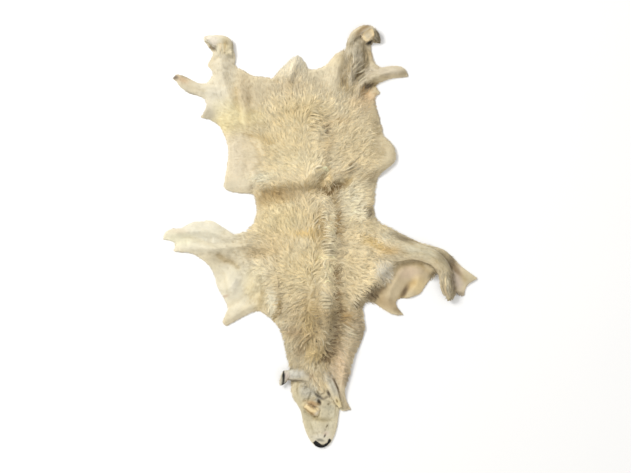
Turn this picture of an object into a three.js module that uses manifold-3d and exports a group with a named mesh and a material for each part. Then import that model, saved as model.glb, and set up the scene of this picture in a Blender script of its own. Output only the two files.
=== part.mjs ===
// A mountain goat's pelt, tanned with the hair on and laid out flat, hair side up.
// It is one piece of skin: body, four split legs, tail, neck and face, with both ears.
// Millimetres, +Z up. +Y runs from the nose to the tail, +X to the right of the laid skin
// seen from above. The origin is on the floor, under the middle of the pelt's footprint.

import * as THREE from "three";
import { mergeVertices } from "three/addons/utils/BufferGeometryUtils.js";
import Module from "manifold-3d";

// Thickness of the skin with its coat, and how the coat thins towards the cut rim.
const RIM_THICKNESS = 5;
const SHORT_COAT = 8;
const RIM_ROUNDING = 26;
const STRIP_THICKNESS = 5;

// Fineness of the mesh.
const RIM_STEP = 17;
const TOP_STEP = 16;
const UNDER_STEP = 34;
const RIM_CLEARANCE = 0.62; // of a step, between an inner point and the rim or its neighbour
const POINT_JITTER = 1.5;
const FOLD_STEP = 20; // between the points of a fold's smoothed line
const STRIP_STEP = 15; // along a strip
const STRIP_FACES = 6; // across a strip
const SAME_POINT = 1e-3; // corners nearer than this are one

// Soft unevenness of the wool on the back.
const TUFT_HEIGHT = 3;
const TUFT_LENGTH = 66;
const TUFT_SLANT = 0.45;

// The cut rim, clockwise from the left root of the tail. Each row is x, y and, where the rim turns
// sharply, "corner". Between corners the rim is a smooth curve through its points.
const RIM = {
  tail: [
    [-168, 553, "corner"],
    [-140, 584],
    [-104, 614],
    [-84, 634],
    [-63, 614],
    [-44, 583, "corner"],
  ],
  rightRump: [
    [0, 590],
    [24, 604],
    [44, 628],
    [63, 646],
    [87, 649, "corner"],
  ],
  rightHindShank: [
    [94, 682],
    [108, 706],
    [131, 726],
    [160, 738],
    [187, 729],
    [197, 705],
    [213, 679, "corner"],
    [184, 681],
    [176, 670, "corner"],
    [179, 640],
    [183, 617],
    [206, 594],
  ],
  rightHeelStrap: [
    [242, 598],
    [280, 597],
    [300, 582],
    [307, 562, "corner"],
    [254, 557],
    [222, 548],
    [190, 534, "corner"],
  ],
  rightFlank: [
    [197, 519],
    [210, 502, "corner"],
    [191, 494],
    [189, 470],
    [200, 430],
    [212, 385],
    [221, 350],
    [245, 331],
    [259, 305],
    [262, 275],
    [251, 255],
    [227, 239],
    [206, 220],
    [193, 193],
    [186, 150],
    [182, 108],
    [185, 74],
    [200, 51],
  ],
  rightForeleg: [
    [229, 38],
    [258, 21],
    [300, 2],
    [342, -18],
    [400, -34],
    [433, -45],
    [458, -66],
    [488, -98],
    [513, -118],
    [550, -145, "corner"],
    [517, -166],
    [506, -184],
    [503, -205, "corner"],
    [478, -198],
    [462, -160],
    [438, -122, "corner"],
  ],
  rightArmpit: [
    [408, -124],
    [380, -152],
    [349, -198, "corner"],
    [306, -213],
    [278, -213],
    [263, -224],
    [267, -244],
    [291, -273, "corner"],
    [254, -270],
    [214, -248],
    [180, -225],
    [151, -216, "corner"],
  ],
  rightNeck: [
    [142, -240],
    [140, -272],
    [144, -292],
    [152, -317],
    [140, -345],
    [134, -374],
    [118, -404],
    [105, -450],
    [93, -500],
    [84, -545],
    [90, -574],
    [106, -604, "corner"],
    [73, -610],
    [65, -603, "corner"],
  ],
  face: [
    [62, -630],
    [57, -668],
    [45, -704],
    [29, -729],
    [7, -738],
    [-15, -734],
    [-31, -720],
    [-48, -690],
    [-60, -652],
    [-68, -612],
    [-83, -584],
    [-97, -558],
    [-102, -525],
  ],
  leftNeck: [
    [-105, -470],
    [-111, -430],
    [-117, -394],
    [-127, -350],
    [-143, -311],
    [-166, -286],
    [-194, -268],
    [-217, -255],
  ],
  leftArmpit: [
    [-252, -269],
    [-300, -294],
    [-330, -311, "corner"],
    [-342, -300],
    [-335, -280],
    [-323, -252, "corner"],
    [-326, -236],
    [-345, -201],
    [-362, -170],
    [-370, -135],
    [-386, -104],
    [-416, -77],
    [-450, -57],
    [-482, -52],
    [-514, -51, "corner"],
  ],
  leftForeleg: [
    [-507, -25, "corner"],
    [-522, -14],
    [-550, -8, "corner"],
    [-544, 15],
    [-525, 27],
    [-490, 29],
    [-466, 40],
    [-446, 53],
    [-415, 53],
    [-385, 58],
    [-348, 37],
    [-303, 8, "corner"],
  ],
  leftWaist: [
    [-278, 13],
    [-245, 24],
    [-228, 52],
    [-221, 90],
    [-225, 128],
    [-232, 157, "corner"],
    [-250, 153, "corner"],
    [-318, 162],
    [-338, 174, "corner"],
  ],
  leftFlank: [
    [-334, 205],
    [-325, 250],
    [-322, 308],
    [-331, 350],
    [-350, 388],
    [-383, 411],
    [-418, 419, "corner"],
    [-400, 455],
    [-401, 482],
  ],
  leftHeelStrap: [
    [-430, 496],
    [-464, 508],
    [-490, 526],
    [-503, 544],
    [-518, 556, "corner"],
    [-508, 568],
    [-483, 566],
    [-455, 551],
    [-422, 536],
    [-396, 539],
    [-384, 556],
  ],
  leftHindShank: [
    [-373, 570],
    [-397, 603, "corner"],
    [-381, 624],
    [-376, 646, "corner"],
    [-392, 668],
    [-409, 690, "corner"],
    [-394, 702],
    [-345, 700],
    [-324, 689],
    [-308, 658],
    [-298, 628],
    [-301, 600],
    [-270, 582],
    [-240, 563],
    [-205, 560],
  ],
};

// How deep the coat stands over the skin: soft mounds added to the short coat.
// x, y, reach along, reach across (mm), turn from +X (degrees), depth (mm).
const COAT = [
  { name: "wool of the back", x: -10, y: 230, along: 300, across: 190, turn: 90, depth: 12 },
  { name: "wool of the shoulders", x: 10, y: -90, along: 230, across: 185, turn: 90, depth: 14 },
  { name: "wool of the neck", x: 15, y: -310, along: 180, across: 125, turn: 90, depth: 12 },
  { name: "left shoulder", x: -150, y: -80, along: 140, across: 95, turn: 20, depth: 7 },
  { name: "right shoulder", x: 165, y: -40, along: 120, across: 80, turn: -20, depth: 7 },
  { name: "loins", x: -130, y: 90, along: 120, across: 90, turn: 0, depth: 5 },
  { name: "forehead", x: 0, y: -500, along: 130, across: 100, turn: 90, depth: 7 },
  { name: "tail", x: -95, y: 585, along: 70, across: 42, turn: 65, depth: 7 },
];

// Lines along which the skin is lifted off the floor in a soft fold. Each line goes through its
// points; left and right are the reach of its two slopes, seen from above along the line.
const FOLDS = [
  { name: "left hind leg, shank", height: 11, left: 30, right: 36,
    line: [[-352, 646], [-346, 596], [-340, 545], [-322, 500], [-300, 450]] },
  { name: "left hind leg, thigh", height: 8, left: 30, right: 42,
    line: [[-290, 548], [-276, 500], [-268, 450], [-258, 405]] },
  { name: "left hind leg, heel strap", height: 10, left: 34, right: 26,
    line: [[-498, 552], [-450, 528], [-395, 512], [-345, 500]] },
  { name: "left flank", height: 10, left: 44, right: 24,
    line: [[-372, 424], [-320, 404], [-262, 384], [-216, 350], [-204, 304], [-186, 262]] },
  { name: "right hind leg, rump", height: 11, left: 26, right: 54,
    line: [[82, 640], [62, 590], [56, 540], [58, 488]] },
  { name: "right hind leg, shank", height: 14, left: 30, right: 28,
    line: [[128, 700], [116, 650], [124, 608], [110, 565], [98, 520]] },
  { name: "right hind leg, shank's edge", height: 10, left: 16, right: 18,
    line: [[170, 660], [170, 628], [184, 600]] },
  { name: "right hind leg, heel strap", height: 22, left: 17, right: 34,
    line: [[292, 580], [242, 576], [200, 562], [164, 545], [142, 520], [130, 484]] },
  { name: "right flank, turned edge", height: 13, left: 40, right: 30,
    line: [[222, 332], [242, 300], [240, 270], [208, 246], [176, 224]] },
  { name: "waist, left", height: 15, left: 66, right: 30,
    line: [[-262, 176], [-205, 192], [-140, 188], [-70, 188], [-22, 214], [16, 250]] },
  { name: "waist, right", height: 10, left: 46, right: 26,
    line: [[14, 196], [60, 212], [110, 240], [160, 240], [200, 232]] },
  { name: "crown of the back", height: 6, left: 30, right: 66,
    line: [[6, 210], [0, 300], [-4, 420], [-44, 500], [-70, 540]] },
  { name: "mane", height: 9, left: 26, right: 80,
    line: [[-2, -410], [22, -350], [26, -280], [24, -180], [28, -60], [34, 30], [20, 130]] },
  { name: "tail", height: 10, left: 20, right: 42,
    line: [[-86, 626], [-84, 602], [-100, 572], [-112, 542], [-112, 512]] },
  { name: "left foreleg, upper", height: 13, left: 34, right: 24,
    line: [[-530, 12], [-460, 20], [-400, 20], [-340, 6], [-280, -14]] },
  { name: "left foreleg, lower", height: 10, left: 24, right: 24,
    line: [[-488, -38], [-430, -36], [-385, -42], [-330, -38], [-262, -28], [-210, -30]] },
  { name: "left armpit, upper", height: 11, left: 46, right: 16,
    line: [[-346, -190], [-312, -176], [-298, -148], [-288, -112]] },
  { name: "left armpit, lower edge", height: 9, left: 44, right: 18,
    line: [[-326, -290], [-280, -262], [-232, -236], [-190, -226]] },
  { name: "left armpit, inner", height: 8, left: 30, right: 34,
    line: [[-250, -210], [-236, -170], [-226, -130]] },
  { name: "left neck", height: 9, left: 34, right: 13,
    line: [[-160, -284], [-152, -246], [-150, -206], [-156, -160]] },
  { name: "right shoulder edge", height: 15, left: 17, right: 52,
    line: [[300, -62], [262, -86], [232, -112], [200, -142], [172, -172], [150, -202]] },
  { name: "right foreleg, rolled band", height: 12, left: 40, right: 20,
    line: [[210, 6], [262, -12], [320, -36], [380, -52], [428, -84]] },
  { name: "right armpit, inner", height: 11, left: 30, right: 26,
    line: [[262, -262], [240, -232], [240, -200], [258, -160], [284, -126]] },
  { name: "right armpit, outer", height: 12, left: 26, right: 30,
    line: [[320, -204], [332, -166], [342, -132], [334, -104]] },
  { name: "right foreleg, end flap", height: 12, left: 30, right: 26,
    line: [[538, -146], [506, -142], [488, -128], [478, -100]] },
  { name: "neck, right edge", height: 10, left: 30, right: 26,
    line: [[118, -310], [102, -380], [84, -450], [72, -520], [74, -580]] },
  { name: "neck, left edge", height: 8, left: 40, right: 30,
    line: [[-104, -310], [-92, -380], [-84, -450], [-74, -520], [-60, -590]] },
  { name: "bridge of the nose", height: 9, left: 40, right: 36,
    line: [[4, -590], [2, -640], [2, -690], [2, -716]] },
];
const FOLD_RUNOUT = 44; // over which a fold's height grows from its end
const FOLD_END_SHARE = 0.3; // of its height, right at its end

// Hollows pressed into the coat: the parting shadows, the horn scars and an eye hole.
const HOLLOWS = [
  { name: "waist valley", depth: 7, reach: 32,
    line: [[-214, 118], [-160, 142], [-100, 148], [-50, 160], [0, 156], [62, 170]] },
  { name: "left foreleg valley", depth: 6, reach: 26,
    line: [[-374, -62], [-338, -78], [-290, -68], [-200, -58]] },
  { name: "neck valley", depth: 9, reach: 22,
    line: [[46, -280], [40, -330], [34, -370], [22, -396], [-4, -420]] },
  { name: "horn scars", depth: 5, reach: 13, line: [[-18, -546], [8, -556], [28, -552]] },
  { name: "eye hole", depth: 5, reach: 11, line: [[-6, -572], [-3, -586]] },
];

// Parts of the skin that stand free over the rest: turned tips, the rolled foreleg and the ears.
// x, y, crown height, half width, curl of the edges and bank to the left (degrees).
const STRIPS = [
  { name: "left hind shank, turned tip", rows: [
    { x: -314, y: 656, crown: 12, half: 14, curl: 30, bank: 0 },
    { x: -328, y: 670, crown: 25, half: 28, curl: 46, bank: -8 },
    { x: -354, y: 679, crown: 31, half: 25, curl: 50, bank: -14 },
    { x: -382, y: 688, crown: 29, half: 15, curl: 45, bank: -14 },
    { x: -406, y: 693, crown: 22, half: 6, curl: 40, bank: -10 },
  ] },
  { name: "right hind shank, rolled end", rows: [
    { x: 104, y: 676, crown: 15, half: 10, curl: 50, bank: 0 },
    { x: 112, y: 698, crown: 26, half: 13, curl: 70, bank: 6 },
    { x: 133, y: 715, crown: 34, half: 14, curl: 80, bank: 8 },
    { x: 160, y: 722, crown: 38, half: 15, curl: 80, bank: 8 },
    { x: 184, y: 715, crown: 34, half: 14, curl: 80, bank: 6 },
    { x: 196, y: 698, crown: 26, half: 11, curl: 70, bank: 4 },
    { x: 208, y: 683, crown: 15, half: 5, curl: 50, bank: 0 },
  ] },
  { name: "right hind shank, skin lining", rows: [
    { x: 166, y: 724, crown: 32, half: 21, curl: 20, bank: 0 },
    { x: 163, y: 708, crown: 30, half: 24, curl: 20, bank: 0 },
    { x: 163, y: 694, crown: 26, half: 19, curl: 20, bank: 0 },
    { x: 160, y: 683, crown: 22, half: 8, curl: 20, bank: 0 },
  ] },
  { name: "right foreleg, rolled band", rows: [
    { x: 176, y: -26, crown: 14, half: 22, curl: 20, bank: 0 },
    { x: 220, y: -38, crown: 27, half: 40, curl: 28, bank: -4 },
    { x: 266, y: -42, crown: 35, half: 44, curl: 36, bank: -10 },
    { x: 314, y: -42, crown: 39, half: 36, curl: 46, bank: -14 },
    { x: 360, y: -54, crown: 41, half: 29, curl: 54, bank: -16 },
    { x: 402, y: -72, crown: 42, half: 29, curl: 60, bank: -16 },
    { x: 430, y: -108, crown: 40, half: 26, curl: 66, bank: -10 },
    { x: 438, y: -150, crown: 36, half: 24, curl: 70, bank: 0 },
    { x: 449, y: -190, crown: 32, half: 22, curl: 70, bank: 0 },
    { x: 455, y: -218, crown: 22, half: 12, curl: 60, bank: 0 },
  ] },
  { name: "left ear", rows: [
    { x: -22, y: -520, crown: 12, half: 12, curl: 30, bank: 0 },
    { x: -44, y: -496, crown: 21, half: 20, curl: 36, bank: 0 },
    { x: -72, y: -480, crown: 28, half: 26, curl: 40, bank: 6 },
    { x: -102, y: -481, crown: 30, half: 20, curl: 44, bank: 8 },
    { x: -130, y: -482, crown: 27, half: 12, curl: 40, bank: 6 },
  ] },
  { name: "left ear, turned tip", rows: [
    { x: -124, y: -470, crown: 27, half: 6, curl: 30, bank: 0 },
    { x: -131, y: -488, crown: 25, half: 8, curl: 40, bank: -20 },
    { x: -134, y: -505, crown: 20, half: 7, curl: 40, bank: -20 },
    { x: -138, y: -519, crown: 14, half: 3, curl: 30, bank: -10 },
  ] },
  { name: "right ear", rows: [
    { x: 4, y: -452, crown: 13, half: 8, curl: 40, bank: 0 },
    { x: 20, y: -484, crown: 22, half: 15, curl: 48, bank: 0 },
    { x: 37, y: -520, crown: 30, half: 17, curl: 50, bank: 4 },
    { x: 53, y: -560, crown: 28, half: 12, curl: 50, bank: 6 },
    { x: 70, y: -596, crown: 20, half: 5, curl: 40, bank: 4 },
  ] },
  { name: "forelock", rows: [
    { x: -28, y: -448, crown: 12, half: 12, curl: 20, bank: 0 },
    { x: -20, y: -480, crown: 21, half: 16, curl: 24, bank: 0 },
    { x: -6, y: -516, crown: 24, half: 16, curl: 26, bank: 0 },
    { x: 6, y: -545, crown: 20, half: 8, curl: 24, bank: 0 },
  ] },
  { name: "dried skin at the left eye", rows: [
    { x: -52, y: -588, crown: 19, half: 8, curl: 16, bank: 0 },
    { x: -38, y: -600, crown: 22, half: 14, curl: 20, bank: 10 },
    { x: -20, y: -614, crown: 22, half: 14, curl: 20, bank: 10 },
    { x: -7, y: -622, crown: 18, half: 7, curl: 16, bank: 0 },
  ] },
];

const DEGREE = Math.PI / 180;

// The same small pseudo-random number, from -1 to 1, for the same two numbers.
function scatter(a, b) {
  const s = Math.sin(a * 127.1 + b * 311.7) * 43758.5453;
  return 2 * (s - Math.floor(s)) - 1;
}

// A smooth hill of height 1 at distance 0, down to 0 at its reach.
function hill(distance, reach) {
  return distance >= reach ? 0 : 0.5 + 0.5 * Math.cos((Math.PI * distance) / reach);
}

function smoothStep(t) {
  const inside = Math.min(1, Math.max(0, t));
  return inside * inside * (3 - 2 * inside);
}

function curveThrough(points, step) {
  const curve = new THREE.CatmullRomCurve3(
    points.map(([x, y, z = 0]) => new THREE.Vector3(x, y, z)),
    false,
    "centripetal",
  );
  const pieces = Math.max(1, Math.round(curve.getLength() / step));
  return curve.getSpacedPoints(pieces);
}

// The rim as a closed loop of points, anticlockwise.
function rimLoop() {
  const rows = Object.values(RIM).flat();
  const corners = rows.flatMap((row, i) => (row[2] === "corner" ? [i] : []));
  const loop = [];
  corners.forEach((start, k) => {
    const end = corners[k + 1] ?? corners[0] + rows.length;
    const stretch = [];
    for (let i = start; i <= end; i++) {
      const [x, y] = rows[i % rows.length];
      stretch.push([x, y]);
    }
    const points = curveThrough(stretch, RIM_STEP);
    loop.push(...points.slice(0, -1).map((p) => [p.x, p.y]));
  });
  return loop.reverse();
}

// How a point lies to an open line of points: its distance, the side (left is positive) and how far
// the nearest spot is from the line's nearer end.
function offLine(x, y, line) {
  let distance = Infinity;
  let side = 1;
  let run = 0;
  let length = 0;
  for (let i = 1; i < line.length; i++) {
    const [ax, ay] = line[i - 1];
    const [bx, by] = line[i];
    const dx = bx - ax;
    const dy = by - ay;
    const piece = Math.hypot(dx, dy);
    const along = ((x - ax) * dx + (y - ay) * dy) / (piece * piece);
    const t = Math.min(1, Math.max(0, along));
    const d = Math.hypot(x - ax - t * dx, y - ay - t * dy);
    if (d < distance) {
      distance = d;
      side = Math.sign(dx * (y - ay) - dy * (x - ax)) || 1;
      run = length + t * piece;
    }
    length += piece;
  }
  return { distance, side, fromEnd: Math.min(run, length - run) };
}

const softened = (line) => curveThrough(line, FOLD_STEP).map((p) => [p.x, p.y]);
const folds = FOLDS.map((fold) => ({ ...fold, line: softened(fold.line) }));
const hollows = HOLLOWS.map((hollow) => ({ ...hollow, line: softened(hollow.line) }));

// How far the skin is lifted off the floor at a point. Folds that meet melt into each other.
function lift(x, y) {
  let cubes = 0;
  for (const fold of folds) {
    const { distance, side, fromEnd } = offLine(x, y, fold.line);
    const slope = hill(distance, side > 0 ? fold.left : fold.right);
    const grown = FOLD_END_SHARE + (1 - FOLD_END_SHARE) * smoothStep(fromEnd / FOLD_RUNOUT);
    cubes += (fold.height * slope * grown) ** 3;
  }
  return Math.cbrt(cubes);
}

function coatDepth(x, y) {
  let depth = SHORT_COAT;
  let wool = 0;
  for (const mound of COAT) {
    const c = Math.cos(mound.turn * DEGREE);
    const s = Math.sin(mound.turn * DEGREE);
    const u = ((x - mound.x) * c + (y - mound.y) * s) / mound.along;
    const v = ((y - mound.y) * c - (x - mound.x) * s) / mound.across;
    const share = hill(Math.hypot(u, v), 1);
    depth += mound.depth * share;
    wool = Math.max(wool, share);
  }
  for (const hollow of hollows) {
    const { distance } = offLine(x, y, hollow.line);
    depth -= hollow.depth * hill(distance, hollow.reach);
  }
  const k = (2 * Math.PI) / TUFT_LENGTH;
  const tufts = Math.sin(k * (x + TUFT_SLANT * y)) * Math.sin(k * (y - TUFT_SLANT * x));
  return Math.max(RIM_THICKNESS, depth + TUFT_HEIGHT * wool * (1 + tufts));
}

// The coat's surface falls to the rim in a quarter round.
function topHeight(x, y, rimDistance) {
  const t = 1 - Math.min(1, rimDistance / RIM_ROUNDING);
  const full = coatDepth(x, y);
  return lift(x, y) + RIM_THICKNESS + (full - RIM_THICKNESS) * Math.sqrt(1 - t * t);
}

function insideLoop(x, y, loop) {
  let inside = false;
  for (let i = 0, j = loop.length - 1; i < loop.length; j = i++) {
    const [xi, yi] = loop[i];
    const [xj, yj] = loop[j];
    if (yi > y !== yj > y && x < ((xj - xi) * (y - yi)) / (yj - yi) + xi) inside = !inside;
  }
  return inside;
}

// Points along the crests of the folds, and between them a triangular grid whose points are each
// moved a little, so that no two rows line up.
function innerPoints(loop, step) {
  const closed = [...loop, loop[0]];
  const clear = RIM_CLEARANCE * step;
  const points = [];
  const addIfFree = (x, y) => {
    if (!insideLoop(x, y, loop)) return;
    if (offLine(x, y, closed).distance < clear) return;
    if (points.some(([px, py]) => Math.hypot(px - x, py - y) < clear)) return;
    points.push([x, y]);
  };
  for (const fold of FOLDS) for (const p of curveThrough(fold.line, step)) addIfFree(p.x, p.y);
  const xs = loop.map((p) => p[0]);
  const ys = loop.map((p) => p[1]);
  const rowStep = (step * Math.sqrt(3)) / 2;
  for (let row = 0, y = Math.min(...ys); y < Math.max(...ys); row++, y += rowStep) {
    for (let x = Math.min(...xs) + ((row % 2) * step) / 2; x < Math.max(...xs); x += step) {
      addIfFree(x + POINT_JITTER * scatter(x, y), y + POINT_JITTER * scatter(y, x));
    }
  }
  return points;
}

function circumcircle(a, b, c) {
  const d = 2 * (a[0] * (b[1] - c[1]) + b[0] * (c[1] - a[1]) + c[0] * (a[1] - b[1]));
  const aa = a[0] * a[0] + a[1] * a[1];
  const bb = b[0] * b[0] + b[1] * b[1];
  const cc = c[0] * c[0] + c[1] * c[1];
  const x = (aa * (b[1] - c[1]) + bb * (c[1] - a[1]) + cc * (a[1] - b[1])) / d;
  const y = (aa * (c[0] - b[0]) + bb * (a[0] - c[0]) + cc * (b[0] - a[0])) / d;
  return { x, y, rr: (a[0] - x) ** 2 + (a[1] - y) ** 2 };
}

// Delaunay triangles over the points, each a row of three indices, anticlockwise.
function delaunay(points) {
  const far = 1e5;
  const all = [...points, [-far, -far], [far, -far], [0, far]];
  const n = points.length;
  const whole = { v: [n, n + 1, n + 2], ...circumcircle(all[n], all[n + 1], all[n + 2]) };
  const order = points.map((_, i) => i).sort((a, b) => points[a][0] - points[b][0]);
  let open = [whole];
  const done = [];
  for (const i of order) {
    const [x, y] = points[i];
    const edges = new Map();
    const kept = [];
    for (const t of open) {
      const dx = x - t.x;
      if (dx > 0 && dx * dx > t.rr) {
        done.push(t);
        continue;
      }
      if (dx * dx + (y - t.y) ** 2 > t.rr) {
        kept.push(t);
        continue;
      }
      for (let k = 0; k < 3; k++) {
        const a = t.v[k];
        const b = t.v[(k + 1) % 3];
        if (!edges.delete(`${b},${a}`)) edges.set(`${a},${b}`, [a, b]);
      }
    }
    for (const [a, b] of edges.values()) {
      kept.push({ v: [a, b, i], ...circumcircle(all[a], all[b], all[i]) });
    }
    open = kept;
  }
  return [...done, ...open].map((t) => t.v).filter((v) => v.every((i) => i < n));
}

// Triangles that fill the loop, over its own points first and then the inner ones.
// Gives the loop's edges that the triangles miss, so that they can be halved.
function fillLoop(loop, inner) {
  const points = [...loop, ...inner];
  const triangles = delaunay(points).filter((v) => {
    const x = (points[v[0]][0] + points[v[1]][0] + points[v[2]][0]) / 3;
    const y = (points[v[0]][1] + points[v[1]][1] + points[v[2]][1]) / 3;
    return insideLoop(x, y, loop);
  });
  const edges = new Set();
  for (const v of triangles) v.forEach((a, k) => edges.add(`${a},${v[(k + 1) % 3]}`));
  const missed = loop.flatMap((_, i) => (edges.has(`${i},${(i + 1) % loop.length}`) ? [] : [i]));
  return { points, triangles, missed };
}

// The sheet of skin and coat as one closed mesh: a fine top, a coarser underside and the rim wall.
function sheetSolid() {
  let loop = rimLoop();
  const above = innerPoints(loop, TOP_STEP);
  const below = innerPoints(loop, UNDER_STEP);
  let top = fillLoop(loop, above);
  let under = fillLoop(loop, below);
  while (top.missed.length || under.missed.length) {
    const halved = new Set([...top.missed, ...under.missed]);
    loop = loop.flatMap((p, i) => {
      const q = loop[(i + 1) % loop.length];
      return halved.has(i) ? [p, [(p[0] + q[0]) / 2, (p[1] + q[1]) / 2]] : [p];
    });
    top = fillLoop(loop, above);
    under = fillLoop(loop, below);
  }
  const closed = [...loop, loop[0]];
  const topPoints = top.points.map(([x, y], i) => {
    const rimDistance = i < loop.length ? 0 : offLine(x, y, closed).distance;
    return [x, y, topHeight(x, y, rimDistance)];
  });
  const underPoints = under.points.map(([x, y]) => [x, y, lift(x, y)]);
  const corners = [];
  for (const [a, b, c] of top.triangles) corners.push(topPoints[a], topPoints[b], topPoints[c]);
  for (const [a, b, c] of under.triangles) {
    corners.push(underPoints[a], underPoints[c], underPoints[b]);
  }
  loop.forEach((_, i) => {
    const j = (i + 1) % loop.length;
    corners.push(underPoints[i], underPoints[j], topPoints[j]);
    corners.push(underPoints[i], topPoints[j], topPoints[i]);
  });
  return corners;
}

// A strip of skin along a path, its two edges curled down, as one closed mesh.
function stripSolid({ rows }) {
  const path = curveThrough(rows.map((r) => [r.x, r.y, r.crown]), STRIP_STEP);
  const stations = path.map((p, i) => {
    const at = ((rows.length - 1) * i) / (path.length - 1) || 0;
    const k = Math.min(rows.length - 2, Math.floor(at));
    const t = at - k;
    const mix = (name) => rows[k][name] * (1 - t) + rows[k + 1][name] * t;
    const before = path[Math.max(0, i - 1)];
    const after = path[Math.min(path.length - 1, i + 1)];
    const heading = Math.atan2(after.y - before.y, after.x - before.x);
    return { p, heading, half: mix("half"), curl: mix("curl") * DEGREE, bank: mix("bank") * DEGREE };
  });
  const ring = (s) => {
    const radius = s.half / Math.sin(s.curl);
    const outer = [];
    const inner = [];
    for (let k = 0; k <= STRIP_FACES; k++) {
      const turn = s.curl * (1 - (2 * k) / STRIP_FACES);
      for (const [list, r] of [[outer, radius], [inner, radius - STRIP_THICKNESS]]) {
        const side = r * Math.sin(turn);
        const rise = r * Math.cos(turn) - radius;
        const across = side * Math.cos(s.bank) - rise * Math.sin(s.bank);
        const up = side * Math.sin(s.bank) + rise * Math.cos(s.bank);
        list.push([
          s.p.x - across * Math.sin(s.heading),
          s.p.y + across * Math.cos(s.heading),
          s.p.z + up,
        ]);
      }
    }
    return [...outer, ...inner.reverse()];
  };
  const rings = stations.map(ring);
  const sides = rings[0].length;
  const corners = [];
  for (let i = 1; i < rings.length; i++) {
    for (let k = 0; k < sides; k++) {
      const m = (k + 1) % sides;
      corners.push(rings[i - 1][k], rings[i - 1][m], rings[i][m]);
      corners.push(rings[i - 1][k], rings[i][m], rings[i][k]);
    }
  }
  for (let k = 0; k < STRIP_FACES; k++) {
    const m = sides - 1 - k;
    for (const [r, turned] of [[rings[0], true], [rings[rings.length - 1], false]]) {
      const quad = [r[k], r[k + 1], r[m - 1], r[m]];
      const [a, b, c, d] = turned ? quad.reverse() : quad;
      corners.push(a, b, c, a, c, d);
    }
  }
  return corners;
}

function geometryOf(corners) {
  const geometry = new THREE.BufferGeometry();
  geometry.setAttribute("position", new THREE.Float32BufferAttribute(corners.flat(), 3));
  return mergeVertices(geometry, SAME_POINT);
}

const wasm = await Module();
wasm.setup();

function manifoldOf(corners) {
  const geometry = geometryOf(corners);
  const mesh = new wasm.Mesh({
    numProp: 3,
    vertProperties: geometry.attributes.position.array,
    triVerts: new Uint32Array(geometry.index.array),
  });
  return new wasm.Manifold(mesh);
}

function peltGeometry() {
  let skin = manifoldOf(sheetSolid());
  for (const strip of STRIPS) skin = skin.add(manifoldOf(stripSolid(strip)));
  const mesh = skin.getMesh();
  const geometry = new THREE.BufferGeometry();
  geometry.setAttribute("position", new THREE.BufferAttribute(mesh.vertProperties, 3));
  geometry.setIndex(new THREE.BufferAttribute(mesh.triVerts, 1));
  geometry.computeVertexNormals();
  return geometry;
}

const coat = new THREE.MeshStandardMaterial({ color: 0xdcc9a2, roughness: 0.9, metalness: 0 });
const pelt = new THREE.Mesh(peltGeometry(), coat);
pelt.name = "pelt";

const group = new THREE.Group();
group.add(pelt);
export default group;
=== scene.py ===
"""A mountain goat's pelt, tanned with the hair on, laid flat on a pale floor, hair side up.

Places on the pelt are in millimetres from its middle: x to the right and y towards the tail.
"""

import math

import bmesh
import bpy
import numpy as np
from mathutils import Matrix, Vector
from mathutils.bvhtree import BVHTree


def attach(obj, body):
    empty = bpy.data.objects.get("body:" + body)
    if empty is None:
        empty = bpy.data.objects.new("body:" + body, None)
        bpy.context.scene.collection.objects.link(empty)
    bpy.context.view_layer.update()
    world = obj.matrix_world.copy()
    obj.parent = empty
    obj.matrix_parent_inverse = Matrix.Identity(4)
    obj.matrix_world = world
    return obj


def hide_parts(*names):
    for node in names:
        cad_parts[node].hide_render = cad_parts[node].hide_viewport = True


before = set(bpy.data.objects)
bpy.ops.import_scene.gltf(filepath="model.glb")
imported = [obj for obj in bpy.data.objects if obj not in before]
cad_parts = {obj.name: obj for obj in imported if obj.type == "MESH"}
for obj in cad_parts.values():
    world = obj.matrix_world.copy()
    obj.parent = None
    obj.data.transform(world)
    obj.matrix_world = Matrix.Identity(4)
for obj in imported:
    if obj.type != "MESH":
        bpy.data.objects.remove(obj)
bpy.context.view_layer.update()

MM = 0.001

# The picture that the camera matches: its size, the real size of a pixel and the pixel over the
# origin.
PICTURE_WIDTH = 631
PICTURE_HEIGHT = 473
PIXEL = 3.5 * MM
ORIGIN_PIXEL = (320.5, 237.0)
LENS = 60
SENSOR = 36
COAT_LEVEL = 0.012  # the height at which the picture's scale holds

# The skin's surface.
COARSE_EDGE = 9
FINE_EDGE = 5.2  # under short hair
FACE_EDGE = 3.2
FACE_START = -445
FLOOR_GAP = 0.05 * MM
SMOOTHING_ROUNDS = 6
SMOOTHING_MOVES = [0.5, -0.52]  # towards the neighbours, and back
MERGE_GAP = 0.01 * MM
SHORTEST_EDGE = 0.05 * MM
UNDERSIDE_TOP = 0.03
WOOLLY_LENGTH = 40  # hair of this length hides the skin wholly
LUMP_HEIGHT = 3.0
FINE_LUMP_HEIGHT = 1.4
GRAIN_HEIGHT = 0.35
GRAIN_SCALE = 1.7
HIDE_MOTTLE = 0.05
SKIN_MOTTLE = 0.06
SCRAP_THICKNESS = 1.6
NOSE_THICKNESS = 3
SCRAP_STEPS = 6  # between two rows of a scrap
RELIEF_CELL = 4
RELIEF_HALF_SIZE = (620, 800)
RIM_SEARCH = 14  # cells

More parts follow.
